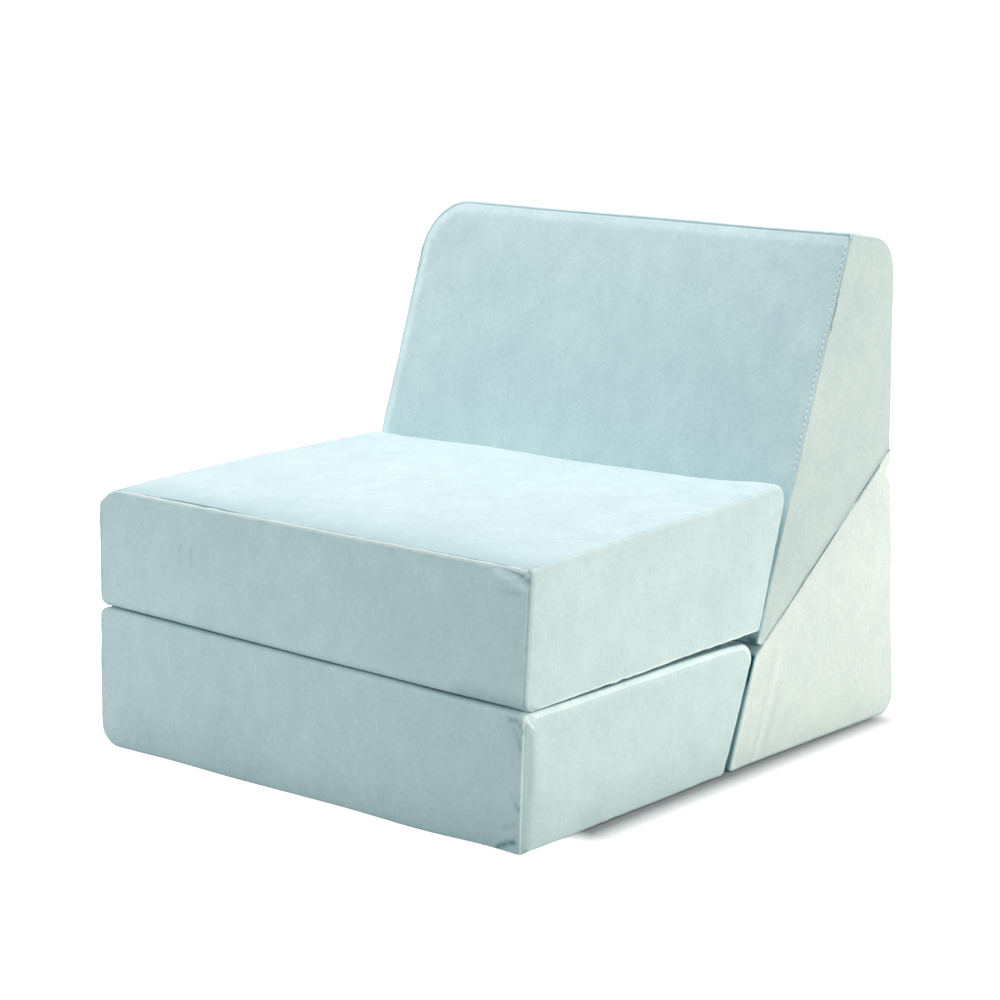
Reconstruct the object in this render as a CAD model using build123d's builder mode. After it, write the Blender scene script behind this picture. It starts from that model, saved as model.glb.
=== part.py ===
# Kids flip open sofa: four fabric-covered foam blocks joined by fabric hinges.
# X runs across the sofa, +Y rearwards, +Z up. The origin is on the floor, in the middle of the
# footprint, and lengths are in millimetres.
from build123d import *
from math import atan2, cos, hypot, sin
import os

os.makedirs("parts", exist_ok=True)

# Overall sizes
sofa_width = 600
sofa_depth = 638
sofa_height = 550
base_height = 144
seat_edge_height = 284
front_setback = 14  # how far the front has leaned back at the seat's top edge
slant_foot_depth = 336  # where the slanted face between front and rear meets the floor
back_top_depth = 82
wedge_apex_height = 118
slope_end_rise = 28  # how far above the rear hinge the sloping seam meets the rear face
seat_level_on_back = 292  # the backrest's crown starts here

# Gaps between the blocks
face_clearance = 0.3  # between faces that lie on each other but move apart
seat_running_gap = 2.5  # between the seat's rear face and the backrest

# Covers and cores
cover_thickness = 3
core_clearance = 0.3
seat_crown = 4
seat_end_crown = 1
front_crown = 2
front_end_crown = 1
back_crown = 4
back_end_crown = 1.5
side_crown = 2.5
outline_margin = 0.6  # the front view outline stands this much outside the top and the underside
foot_trim = 0.3  # the forms that stand on the floor reach this much below it and are cut level
overrun = 10  # one overrun for all cuts

# Edge radii of the side profiles
crisp_edge_radius = 4
base_rear_top_radius = 14
seat_rear_top_radius = 14
seat_rear_foot_radius = 8
wedge_apex_radius = 3.5
wedge_rear_foot_radius = 24
back_tip_radius = 4
back_top_rear_radius = 45

# Corner radii of the front view outlines
base_foot_corner = 14
base_top_corner = 6
seat_foot_corner = 6
seat_top_corner = 18
wedge_foot_corner = 8
wedge_top_corner = 8
back_foot_corner = 6
back_top_corner = 32
least_core_radius = 1

# Hinge straps of fabric
strap_thickness = 1
strap_length = 540
front_strap_reach = 45
rear_strap_reach = 45
rear_strap_lap = 40  # how far the rear strap runs up the backrest
strap_corner_radius = 5

# Hook and loop strips that hold the base to the wedge
fastener_thickness = 1.5
fastener_width = 40
fastener_length = 440
fastener_height_on_face = 82  # centre of the strips, along the slanted face from the floor

# Zips on the hidden faces
zip_tape_thickness = 1
zip_tape_width = 13
zip_tape_length = 470
zip_slit = 1
coil_width = 1.8
coil_height = 1.4
chain_length = 446
stop_length = 4
slider_length = 10
slider_width = 7.2
slider_plate = 0.8
slider_flange = 0.9
slider_neck_width = 0.6
slider_neck_length = 4
slider_clearance = 0.3
slider_corner_radius = 1.5
zip_mouth_clearance = 1
base_zip_height = 34  # from the floor end of the slanted face
wedge_zip_height = 30
seat_zip_height = 34
back_zip_height = 90  # from the rear end of the sloping face

# Welt along the seat's front top edge
welt_radius = 3
welt_inset = 1.5
welt_end_radius = 1
welt_clearance = 0.1

half_width = sofa_width / 2
edge_half_width = half_width - side_crown
panel_plane = edge_half_width - cover_thickness
station = half_width + overrun


def front_y(height):
    # the front faces lie in one plane that leans back
    return front_setback * height / seat_edge_height - sofa_depth / 2


def slant_y(height):
    # the slanted plane that divides the front blocks from the rear ones
    run = sofa_depth - back_top_depth - slant_foot_depth
    return slant_foot_depth + run * height / sofa_height - sofa_depth / 2


rear_y = sofa_depth / 2
front_axis_y = front_y(base_height) - front_crown - face_clearance
rear_axis_y = rear_y + face_clearance / 2
rear_axis_z = sofa_height / 2  # so that the backrest, tipped back, stands on its top
slope_end_height = rear_axis_z + slope_end_rise
slant_run = slant_y(sofa_height) - slant_y(0)
slant_length = hypot(slant_run, sofa_height)
fastener_offset = 2 * fastener_thickness * slant_length / sofa_height


# Helpers for profiles

def outward(start, end):
    # unit normal to the left of the way from start to end, which is outward on these profiles
    length = hypot(end[0] - start[0], end[1] - start[1])
    return (start[1] - end[1]) / length, (end[0] - start[0]) / length


def crowned_edge(start, end, crown):
    # a straight edge, or an arc that bulges outward by its crown
    if crown == 0:
        Line(start, end)
        return
    normal = outward(start, end)
    middle = tuple((start[i] + end[i]) / 2 + normal[i] * crown for i in range(2))
    ThreePointArc(start, middle, end)


def closed_profile(plane, corners, crowns, radii):
    # a closed outline through the corners, with its edges crowned and its corners rounded
    with BuildSketch(plane) as profile:
        with BuildLine():
            for start, end, crown in zip(corners, corners[1:] + corners[:1], crowns):
                crowned_edge(start, end, crown)
        make_face()
        for corner, radius in zip(corners, radii):
            if radius > 0:
                fillet(profile.vertices().sort_by_distance(Vector(corner[0], corner[1]))[0], radius)
    return profile.sketch


def inset_corners(corners, amount):
    # moves every edge of a convex outline inward and gives the new corners
    moved = []
    for before, corner, after in zip(corners[-1:] + corners[:-1], corners, corners[1:] + corners[:1]):
        first = outward(before, corner)
        second = outward(corner, after)
        scale = amount / (1 + first[0] * second[0] + first[1] * second[1])
        moved.append((corner[0] - (first[0] + second[0]) * scale, corner[1] - (first[1] + second[1]) * scale))
    return moved


def core_radii(radii):
    # sharp corners stay sharp in the core
    return [max(radius - cover_thickness, least_core_radius) if radius > 0 else 0 for radius in radii]


def face_plane(start, end, distance):
    # a plane on a profile's edge, its x axis across the sofa and its z axis outward
    length = hypot(end[0] - start[0], end[1] - start[1])
    share = distance / length
    normal = outward(start, end)
    origin = (0, start[0] + (end[0] - start[0]) * share, start[1] + (end[1] - start[1]) * share)
    return Plane(origin=origin, x_dir=(1, 0, 0), z_dir=(0, normal[0], normal[1]))


# Helpers for solids, each working on the part that is open

def outline_solid(corners, crowns, radii, mode):
    # the front view outline, run through the whole depth
    outline = closed_profile(Plane.XZ.offset(-sofa_depth), corners, crowns, radii)
    extrude(outline, amount=2 * sofa_depth, mode=mode)


def outline_corners(low, high, inset):
    half = edge_half_width - inset
    foot = low + inset - outline_margin
    top = high - inset + outline_margin
    return [(-half, foot), (-half, top), (half, top), (half, foot)]


def crowned_form(corners, full_crowns, end_crowns, radii, low, high, top_crown, outline_radii):
    # a loft across the sofa, drawn in at both ends, trimmed by the front view outline
    ends = [closed_profile(Plane.YZ.offset(x), corners, end_crowns, radii) for x in (-station, station)]
    middle = closed_profile(Plane.YZ, corners, full_crowns, radii)
    loft([ends[0], middle, ends[1]])
    outline = outline_corners(low, high, 0)
    outline_solid(outline, (side_crown, top_crown, side_crown, 0), outline_radii, Mode.INTERSECT)


def keep_wrap():
    split(bisect_by=Plane.YZ.offset(panel_plane), keep=Keep.BOTTOM)
    split(bisect_by=Plane.YZ.offset(-panel_plane), keep=Keep.TOP)


def keep_side(side):
    split(bisect_by=Plane.YZ.offset(side * panel_plane), keep=Keep.TOP if side > 0 else Keep.BOTTOM)


def core_form(corners, radii, low, high, outline_radii, inset):
    # the flat-sided block of foam, or the hollow that holds it
    inner = inset_corners(corners, inset)
    profile = closed_profile(Plane.YZ.offset(-station), inner, [0] * len(inner), core_radii(radii))
    extrude(profile, amount=2 * station)
    outline = outline_corners(low, high, inset)
    outline_solid(outline, (0, 0, 0, 0), core_radii(outline_radii), Mode.INTERSECT)


def cut_zip_mouth(plane):
    # the opening that the zip's chain shows through
    with BuildSketch(plane.offset(overrun)) as mouth:
        SlotOverall(chain_length + slider_width, slider_width + 2 * zip_mouth_clearance)
    extrude(mouth.sketch, amount=-overrun - cover_thickness - core_clearance, mode=Mode.SUBTRACT)


def cut_zip_bed(plane):
    # the shallow beds in the foam for the tapes and for the slider's lower plate
    with BuildSketch(plane) as tape_bed:
        width = zip_slit + 2 * zip_tape_width + 2 * slider_clearance
        Rectangle(zip_tape_length + 2 * slider_clearance, width)
    tape_floor = cover_thickness + zip_tape_thickness + core_clearance
    extrude(tape_bed.sketch, amount=-tape_floor, mode=Mode.SUBTRACT)
    with BuildSketch(plane) as slider_bed:
        Rectangle(chain_length, slider_width + 2 * slider_clearance)
    slider_floor = tape_floor + slider_clearance + slider_plate
    extrude(slider_bed.sketch, amount=-slider_floor, mode=Mode.SUBTRACT)


def zip_tapes(plane):
    # two tapes with their halves of the coil, a slit apart, and a stop at each end
    tape_level = plane.offset(-cover_thickness - zip_tape_thickness)
    coil_level = plane.offset(-cover_thickness)
    for side in (-1, 1):
        with BuildSketch(tape_level) as tape:
            with Locations((0, side * (zip_slit + zip_tape_width) / 2)):
                Rectangle(zip_tape_length, zip_tape_width)
        extrude(tape.sketch, amount=zip_tape_thickness)
        with BuildSketch(coil_level) as coil:
            with Locations((0, side * (zip_slit + coil_width) / 2)):
                Rectangle(chain_length, coil_width)
        extrude(coil.sketch, amount=coil_height)
        with BuildSketch(coil_level) as stops:
            stop_width = (slider_width - zip_slit) / 2
            with Locations((0, side * (zip_slit + stop_width) / 2)):
                with GridLocations(chain_length - stop_length, 0, 2, 1):
                    Rectangle(stop_length, stop_width)
        extrude(stops.sketch, amount=coil_height + slider_plate)


def zip_slider(plane):
    # a plate over the coil and one under the tapes, joined by a neck that runs in the slit
    home = -(chain_length - slider_length) / 2 + stop_length + slider_clearance
    top_level = plane.offset(coil_height + slider_clearance - cover_thickness)
    flange_level = plane.offset(slider_clearance - cover_thickness)
    foot_level = plane.offset(-cover_thickness - zip_tape_thickness - slider_clearance - slider_plate)
    for level in (top_level, foot_level):
        with BuildSketch(level) as plate:
            with Locations((home, 0)):
                RectangleRounded(slider_length, slider_width, slider_corner_radius)
        extrude(plate.sketch, amount=slider_plate)
    with BuildSketch(flange_level) as flanges:
        with Locations((home, 0)):
            with GridLocations(0, slider_width - slider_flange, 1, 2):
                Rectangle(slider_length - 2 * slider_corner_radius, slider_flange)
    extrude(flanges.sketch, amount=coil_height)
    with BuildSketch(foot_level) as neck:
        with Locations((home, 0)):
            Rectangle(slider_neck_length, slider_neck_width)
    neck_height = coil_height + zip_tape_thickness + 2 * slider_clearance + 2 * slider_plate
    extrude(neck.sketch, amount=neck_height)


def flat_strap(low, high, level, clearance, mode=Mode.ADD):
    # a leaf of the front hinge, flat on a level plane, from low to high along Y
    with BuildSketch(Plane.XY.offset(level)) as leaf:
        with Locations((0, (low + high) / 2)):
            length = strap_length + 2 * clearance
            RectangleRounded(length, high - low + 2 * clearance, strap_corner_radius)
    extrude(leaf.sketch, amount=strap_thickness, mode=mode)


def upright_strap(low, high, depth, clearance, mode=Mode.ADD):
    # a leaf of the rear hinge, in the plane of the rear faces, from low to high along Z
    with BuildSketch(Plane.XZ.offset(-rear_y)) as leaf:
        with Locations((0, (low + high) / 2)):
            length = strap_length + 2 * clearance
            RectangleRounded(length, high - low + 2 * clearance, strap_corner_radius)
    extrude(leaf.sketch, amount=depth, mode=mode)


def fastener_strip(plane, thickness):
    # a hook or loop strip laid on a slanted face
    with BuildSketch(plane) as strip:
        RectangleRounded(fastener_length, fastener_width, strap_corner_radius)
    extrude(strip.sketch, amount=thickness)


def export_piece(piece, name):
    piece.part.label = name
    export_step(piece.part, "parts/" + name + ".step")


# Base block, with its corners in order from the foot of the front face round to the foot of the rear
base_top = base_height - face_clearance / 2
base_corners = [
    (front_y(0), 0),
    (front_y(base_top), base_top),
    (slant_y(base_top) - fastener_offset, base_top),
    (slant_y(0) - fastener_offset, 0),
]
base_radii = [crisp_edge_radius, crisp_edge_radius, base_rear_top_radius, crisp_edge_radius]
base_outline_radii = [base_foot_corner, base_top_corner, base_top_corner, base_foot_corner]
base_loft_corners = [
    (front_y(-foot_trim), -foot_trim),
    base_corners[1],
    base_corners[2],
    (slant_y(-foot_trim) - fastener_offset, -foot_trim),
]
base_rear_length = hypot(base_corners[2][0] - base_corners[3][0], base_top)
base_zip_plane = face_plane(base_corners[2], base_corners[3], base_rear_length - base_zip_height)
base_strip_plane = face_plane(base_corners[2], base_corners[3], base_rear_length - fastener_height_on_face)


def base_form():
    crowned_form(base_loft_corners, (front_crown, 0, 0, 0), (front_end_crown, 0, 0, 0), base_radii,
                 0, base_top, 0, base_outline_radii)
    split(bisect_by=Plane.XY, keep=Keep.TOP)


def base_core_form(inset):
    core_form(base_corners, base_radii, 0, base_top, base_outline_radii, inset)


with BuildPart() as base_hollow:
    base_core_form(cover_thickness)

with BuildPart() as base_foam_core:
    base_core_form(cover_thickness + core_clearance)
    cut_zip_bed(base_zip_plane)
export_piece(base_foam_core, "base_foam_core")

with BuildPart() as base_cover_wrap:
    base_form()
    keep_wrap()
    add(base_hollow.part, mode=Mode.SUBTRACT)
    flat_strap(front_axis_y - overrun, front_axis_y + front_strap_reach, base_top - strap_thickness,
               face_clearance, Mode.SUBTRACT)
    cut_zip_mouth(base_zip_plane)
export_piece(base_cover_wrap, "base_cover_wrap")

with BuildPart() as base_left_side_panel:
    base_form()
    keep_side(-1)
export_piece(base_left_side_panel, "base_left_side_panel")

with BuildPart() as base_right_side_panel:
    base_form()
    keep_side(1)
export_piece(base_right_side_panel, "base_right_side_panel")

with BuildPart() as base_zip_tapes:
    zip_tapes(base_zip_plane)
export_piece(base_zip_tapes, "base_zip_tapes")

with BuildPart() as base_zip_slider:
    zip_slider(base_zip_plane)
export_piece(base_zip_slider, "base_zip_slider")

with BuildPart() as base_hook_strip:
    fastener_strip(base_strip_plane, fastener_thickness)
export_piece(base_hook_strip, "base_hook_strip")

with BuildPart() as front_hinge_base_leaf:
    flat_strap(front_axis_y + face_clearance / 2, front_axis_y + front_strap_reach,
               base_top - strap_thickness, 0)
export_piece(front_hinge_base_leaf, "front_hinge_base_leaf")


# Seat block
seat_foot = base_height + face_clearance / 2
seat_corners = [
    (front_y(seat_foot), seat_foot),
    (front_y(seat_edge_height), seat_edge_height),
    (slant_y(seat_edge_height) - seat_running_gap, seat_edge_height),
    (slant_y(seat_foot) - seat_running_gap, seat_foot),
]
seat_radii = [crisp_edge_radius, crisp_edge_radius, seat_rear_top_radius, seat_rear_foot_radius]
seat_outline_radii = [seat_foot_corner, seat_top_corner, seat_top_corner, seat_foot_corner]
seat_rear_length = hypot(seat_corners[2][0] - seat_corners[3][0], seat_edge_height - seat_foot)
seat_zip_plane = face_plane(seat_corners[2], seat_corners[3], seat_rear_length - seat_zip_height)
welt_length = 2 * (edge_half_width - seat_top_corner)
welt_centre = (seat_corners[1][0] + welt_inset, seat_corners[1][1] - welt_inset)


def seat_form():
    crowned_form(seat_corners, (front_crown, seat_crown, 0, 0), (front_end_crown, seat_end_crown, 0, 0),
                 seat_radii, seat_foot, seat_edge_height, seat_crown, seat_outline_radii)


def seat_core_form(inset):
    core_form(seat_corners, seat_radii, seat_foot, seat_edge_height, seat_outline_radii, inset)


def cut_welt_groove():
    # the bed that the welt lies in along the front top edge
    with BuildSketch(Plane.YZ.offset(-welt_length / 2 - welt_clearance)) as groove:
        with Locations(welt_centre):
            Circle(welt_radius + welt_clearance)
    extrude(groove.sketch, amount=welt_length + 2 * welt_clearance, mode=Mode.SUBTRACT)


with BuildPart() as seat_hollow:
    seat_core_form(cover_thickness)

with BuildPart() as seat_foam_core:
    seat_core_form(cover_thickness + core_clearance)
    cut_zip_bed(seat_zip_plane)
    cut_welt_groove()
export_piece(seat_foam_core, "seat_foam_core")

with BuildPart() as seat_cover_wrap:
    seat_form()
    keep_wrap()
    add(seat_hollow.part, mode=Mode.SUBTRACT)
    flat_strap(front_axis_y - overrun, front_axis_y + front_strap_reach, seat_foot,
               face_clearance, Mode.SUBTRACT)
    cut_zip_mouth(seat_zip_plane)
    cut_welt_groove()
export_piece(seat_cover_wrap, "seat_cover_wrap")

with BuildPart() as seat_front_welt:
    with BuildSketch(Plane.YZ.offset(-welt_length / 2)) as welt_section:
        with Locations(welt_centre):
            Circle(welt_radius)
    extrude(amount=welt_length)
    fillet(seat_front_welt.edges().filter_by(GeomType.CIRCLE), welt_end_radius)
export_piece(seat_front_welt, "seat_front_welt")

with BuildPart() as seat_left_side_panel:
    seat_form()
    keep_side(-1)
export_piece(seat_left_side_panel, "seat_left_side_panel")

with BuildPart() as seat_right_side_panel:
    seat_form()
    keep_side(1)
export_piece(seat_right_side_panel, "seat_right_side_panel")

with BuildPart() as seat_zip_tapes:
    zip_tapes(seat_zip_plane)
export_piece(seat_zip_tapes, "seat_zip_tapes")

with BuildPart() as seat_zip_slider:
    zip_slider(seat_zip_plane)
export_piece(seat_zip_slider, "seat_zip_slider")

with BuildPart() as front_hinge_seat_leaf:
    flat_strap(front_axis_y + face_clearance / 2, front_axis_y + front_strap_reach, seat_foot, 0)
export_piece(front_hinge_seat_leaf, "front_hinge_seat_leaf")


# Rear wedge, whose upper rear corner is an arc about the rear hinge's axis
apex = (slant_y(wedge_apex_height), wedge_apex_height)
slope_rise = slope_end_height - wedge_apex_height
slope_angle = atan2(slope_rise, rear_y - apex[0])
slope_normal = (-sin(slope_angle), cos(slope_angle))
hinge_to_slope = (slope_end_height - rear_axis_z) * cos(slope_angle) + (rear_axis_y - rear_y) * sin(slope_angle)
arc_radius = hinge_to_slope - face_clearance / 2
slope_drop = face_clearance / 2 / cos(slope_angle)
wedge_apex = (slant_y(wedge_apex_height - slope_drop), wedge_apex_height - slope_drop)
arc_foot = (rear_axis_y + slope_normal[0] * arc_radius, rear_axis_z + slope_normal[1] * arc_radius)
arc_end = (rear_y, rear_axis_z + (arc_radius**2 - (rear_axis_y - rear_y)**2) ** 0.5)
arc_chord = hypot(arc_end[0] - arc_foot[0], arc_end[1] - arc_foot[1])
arc_crown = arc_radius - (arc_radius**2 - (arc_chord / 2) ** 2) ** 0.5
wedge_corners = [(slant_y(0), 0), wedge_apex, arc_foot, arc_end, (rear_y, 0)]
wedge_loft_corners = [(slant_y(-foot_trim), -foot_trim), wedge_apex, arc_foot, arc_end, (rear_y, -foot_trim)]
wedge_radii = [crisp_edge_radius, wedge_apex_radius, 0, 0, wedge_rear_foot_radius]
wedge_outline_radii = [wedge_foot_corner, wedge_top_corner, wedge_top_corner, wedge_foot_corner]
wedge_zip_plane = face_plane(wedge_corners[0], wedge_corners[1], wedge_zip_height)
wedge_strip_plane = face_plane(wedge_corners[0], wedge_corners[1], fastener_height_on_face)


def wedge_form():
    crowned_form(wedge_loft_corners, (0, 0, arc_crown, 0, 0), (0, 0, arc_crown, 0, 0), wedge_radii,
                 0, slope_end_height, 0, wedge_outline_radii)
    split(bisect_by=Plane.XY, keep=Keep.TOP)


def wedge_core_form(inset):
    core_form(wedge_corners, wedge_radii, 0, slope_end_height, wedge_outline_radii, inset)


with BuildPart() as wedge_hollow:
    wedge_core_form(cover_thickness)

with BuildPart() as wedge_foam_core:
    wedge_core_form(cover_thickness + core_clearance)
    cut_zip_bed(wedge_zip_plane)
export_piece(wedge_foam_core, "wedge_foam_core")

with BuildPart() as wedge_cover_wrap:
    wedge_form()
    keep_wrap()
    add(wedge_hollow.part, mode=Mode.SUBTRACT)
    upright_strap(rear_axis_z - rear_strap_reach, slope_end_height + overrun,
                  strap_thickness + face_clearance, face_clearance, Mode.SUBTRACT)
    cut_zip_mouth(wedge_zip_plane)
export_piece(wedge_cover_wrap, "wedge_cover_wrap")

with BuildPart() as wedge_left_side_panel:
    wedge_form()
    keep_side(-1)
export_piece(wedge_left_side_panel, "wedge_left_side_panel")

with BuildPart() as wedge_right_side_panel:
    wedge_form()
    keep_side(1)
export_piece(wedge_right_side_panel, "wedge_right_side_panel")

with BuildPart() as wedge_zip_tapes:
    zip_tapes(wedge_zip_plane)
export_piece(wedge_zip_tapes, "wedge_zip_tapes")

with BuildPart() as wedge_zip_slider:
    zip_slider(wedge_zip_plane)
export_piece(wedge_zip_slider, "wedge_zip_slider")

with BuildPart() as wedge_loop_strip:
    fastener_strip(wedge_strip_plane, fastener_thickness)
export_piece(wedge_loop_strip, "wedge_loop_strip")

with BuildPart() as rear_hinge_wedge_leaf:
    upright_strap(rear_axis_z - rear_strap_reach, rear_axis_z - face_clearance / 2, strap_thickness, 0)
export_piece(rear_hinge_wedge_leaf, "rear_hinge_wedge_leaf")


# Backrest block, which stands on the wedge's slope
back_tip = (slant_y(wedge_apex_height + slope_drop), wedge_apex_height + slope_drop)
back_heel = (rear_y, slope_end_height + slope_drop)
back_corners = [
    back_tip,
    (slant_y(seat_level_on_back), seat_level_on_back),
    (slant_y(sofa_height), sofa_height),
    (rear_y, sofa_height),
    back_heel,
]
back_radii = [back_tip_radius, 0, crisp_edge_radius, back_top_rear_radius, 0]
back_outline_radii = [back_foot_corner, back_top_corner, back_top_corner, back_foot_corner]
back_slope_length = hypot(back_heel[0] - back_tip[0], back_heel[1] - back_tip[1])
back_zip_plane = face_plane(back_heel, back_tip, back_zip_height)


def back_form():
    crowned_form(back_corners, (0, back_crown, 0, 0, 0), (0, back_end_crown, 0, 0, 0), back_radii,
                 wedge_apex_height, sofa_height, 0, back_outline_radii)


def back_core_form(inset):
    core_form(back_corners, back_radii, wedge_apex_height, sofa_height, back_outline_radii, inset)


with BuildPart() as back_hollow:
    back_core_form(cover_thickness)

with BuildPart() as backrest_foam_core:
    back_core_form(cover_thickness + core_clearance)
    cut_zip_bed(back_zip_plane)
export_piece(backrest_foam_core, "backrest_foam_core")

with BuildPart() as backrest_cover_wrap:
    back_form()
    keep_wrap()
    add(back_hollow.part, mode=Mode.SUBTRACT)
    upright_strap(slope_end_height - overrun, slope_end_height + rear_strap_lap, strap_thickness,
                  face_clearance, Mode.SUBTRACT)
    cut_zip_mouth(back_zip_plane)
export_piece(backrest_cover_wrap, "backrest_cover_wrap")

with BuildPart() as backrest_left_side_panel:
    back_form()
    keep_side(-1)
export_piece(backrest_left_side_panel, "backrest_left_side_panel")

with BuildPart() as backrest_right_side_panel:
    back_form()
    keep_side(1)
export_piece(backrest_right_side_panel, "backrest_right_side_panel")

with BuildPart() as backrest_zip_tapes:
    zip_tapes(back_zip_plane)
export_piece(backrest_zip_tapes, "backrest_zip_tapes")

with BuildPart() as backrest_zip_slider:
    zip_slider(back_zip_plane)
export_piece(backrest_zip_slider, "backrest_zip_slider")

with BuildPart() as rear_hinge_backrest_leaf:
    upright_strap(rear_axis_z + face_clearance / 2, slope_end_height + rear_strap_lap, strap_thickness, 0)
export_piece(rear_hinge_backrest_leaf, "rear_hinge_backrest_leaf")
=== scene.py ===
import bmesh
import bpy
import numpy as np
from mathutils import Matrix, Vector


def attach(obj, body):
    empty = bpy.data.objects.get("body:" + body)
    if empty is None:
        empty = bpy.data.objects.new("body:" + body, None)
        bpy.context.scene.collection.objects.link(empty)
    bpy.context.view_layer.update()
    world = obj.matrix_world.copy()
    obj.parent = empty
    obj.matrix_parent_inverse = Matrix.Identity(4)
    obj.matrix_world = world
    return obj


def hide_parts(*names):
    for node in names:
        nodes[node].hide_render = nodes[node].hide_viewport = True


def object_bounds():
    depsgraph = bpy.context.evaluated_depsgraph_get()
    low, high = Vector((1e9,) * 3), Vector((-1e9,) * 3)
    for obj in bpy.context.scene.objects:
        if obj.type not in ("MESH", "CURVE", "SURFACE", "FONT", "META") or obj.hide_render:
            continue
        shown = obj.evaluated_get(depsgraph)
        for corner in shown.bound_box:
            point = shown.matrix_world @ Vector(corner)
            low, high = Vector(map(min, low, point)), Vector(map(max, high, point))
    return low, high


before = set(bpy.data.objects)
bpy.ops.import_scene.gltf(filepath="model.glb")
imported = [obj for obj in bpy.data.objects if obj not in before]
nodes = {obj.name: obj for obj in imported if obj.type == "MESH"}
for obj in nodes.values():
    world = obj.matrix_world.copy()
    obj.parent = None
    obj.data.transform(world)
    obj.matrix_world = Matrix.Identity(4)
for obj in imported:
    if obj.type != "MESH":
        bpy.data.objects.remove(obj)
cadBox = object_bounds()
mm = 0.001

# The sofa's main lines, in metres: x across, y rearwards, z up
sofa = dict(
    halfWidth=cadBox[1].x,              # the outer sizes come from the frame
    rear=cadBox[1].y,
    top=cadBox[1].z,
    frontLean=14 * mm / 0.284,          # the front faces lean back by this much per metre of height
    slantFoot=17 * mm,                  # where the slanted face between the front and rear blocks meets the floor
    slantLean=0.4,
    seamHeight=144 * mm,                # joint between the base block and the seat
    seatTop=284 * mm,
    apexHeight=121 * mm,                # where the sloping seam meets the slanted face
    slopeEnd=303 * mm,                  # where the sloping seam meets the rear face
    pinch=275 * mm,                     # height of the hinge between the wedge and the backrest, on the rear face
)


def frontY(z):
    # the front plane: -rear + lean z
    return -sofa["rear"] + sofa["frontLean"] * z


def slantY(z):
    # the slanted plane between the front and rear blocks: foot + lean z
    return sofa["slantFoot"] + sofa["slantLean"] * z


# camera, at the photograph's place
view = dict(
    focal=2776.75, centreX=514.99, centreY=494.34,  # in pixels of a 1000 wide picture
    yaw=0.70549, pitch=0.20686, roll=-0.00882,      # radians
    place=(1.94086, -2.25066, 0.88756),
    sensor=36, width=1000, near=0.05, far=60,       # sensor in mm, picture in pixels, sight in metres
)


def makeCamera(view):
    # forward = (-sin yaw cos pitch, cos yaw cos pitch, -sin pitch); right and up are rolled about it
    cy, sy = np.cos(view["yaw"]), np.sin(view["yaw"])
    cp, sp = np.cos(view["pitch"]), np.sin(view["pitch"])
    forward = np.array([-sy * cp, cy * cp, -sp])
    level = np.array([cy, sy, 0.0])
    upright = np.cross(level, forward)
    cr, sr = np.cos(view["roll"]), np.sin(view["roll"])
    right = cr * level + sr * upright
    up = -sr * level + cr * upright
    data = bpy.data.cameras.new("camera")
    width = view["width"]
    data.sensor_width = view["sensor"]
    data.lens = view["focal"] * view["sensor"] / width
    data.shift_x = (width / 2 - view["centreX"]) / width
    data.shift_y = (view["centreY"] - width / 2) / width
    data.clip_start, data.clip_end = view["near"], view["far"]
    camera = bpy.data.objects.new("camera", data)
    bpy.context.scene.collection.objects.link(camera)
    turned = Matrix([list(row) + [0] for row in np.stack([right, up, -forward], 1)] + [[0, 0, 0, 1]])
    turned.translation = view["place"]
    camera.matrix_world = turned
    bpy.context.scene.camera = camera


makeCamera(view)


# materials

def newMaterial(name):
    # an empty node tree with a Principled shader on its output
    material = bpy.data.materials.new(name)
    material.use_nodes = True
    tree = material.node_tree
    tree.nodes.clear()
    shader = tree.nodes.new("ShaderNodeBsdfPrincipled")
    out = tree.nodes.new("ShaderNodeOutputMaterial")
    tree.links.new(shader.outputs[0], out.inputs[0])
    return material, tree, shader


def addNoise(tree, source, scale, detail=2.0, rough=0.5, stretch=(1, 1, 1), turn=(0, 0, 0)):
    # noise on the source's place, turned and stretched first
    mapping = tree.nodes.new("ShaderNodeMapping")
    mapping.inputs["Scale"].default_value = stretch
    mapping.inputs["Rotation"].default_value = turn
    noise = tree.nodes.new("ShaderNodeTexNoise")
    noise.inputs["Scale"].default_value = scale
    noise.inputs["Detail"].default_value = detail
    noise.inputs["Roughness"].default_value = rough
    tree.links.new(source, mapping.inputs["Vector"])
    tree.links.new(mapping.outputs[0], noise.inputs["Vector"])
    return noise.outputs["Fac"]


def addRange(tree, value, fromLow, fromHigh, toLow, toHigh):
    # carries a value from one range to another in a straight line, held at its ends
    node = tree.nodes.new("ShaderNodeMapRange")
    for slot, number in zip(("From Min", "From Max", "To Min", "To Max"), (fromLow, fromHigh, toLow, toHigh)):
        node.inputs[slot].default_value = number
    tree.links.new(value, node.inputs["Value"])
    return node.outputs["Result"]


def addMath(tree, kind, a, b):
    # a sum, product or the like of two values, each a number or a socket
    node = tree.nodes.new("ShaderNodeMath")
    node.operation = kind
    for socket, value in zip(node.inputs, (a, b)):
        if isinstance(value, (int, float)):
            socket.default_value = value
        else:
            tree.links.new(value, socket)
    return node.outputs[0]


def addTint(tree, low, high, share):
    # a colour between two, by a value of 0 to 1
    mix = tree.nodes.new("ShaderNodeMix")
    mix.data_type = "RGBA"
    mix.inputs[6].default_value = (*low, 1)
    mix.inputs[7].default_value = (*high, 1)
    tree.links.new(share, mix.inputs[0])
    return mix.outputs[2]


def addBump(tree, height, distance, strength, under=None):
    # tilts the normal by a height, on top of another bump
    bump = tree.nodes.new("ShaderNodeBump")
    bump.inputs["Distance"].default_value = distance
    bump.inputs["Strength"].default_value = strength
    tree.links.new(height, bump.inputs["Height"])
    if under is not None:
        tree.links.new(under, bump.inputs["Normal"])
    return bump.outputs[0]


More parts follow.
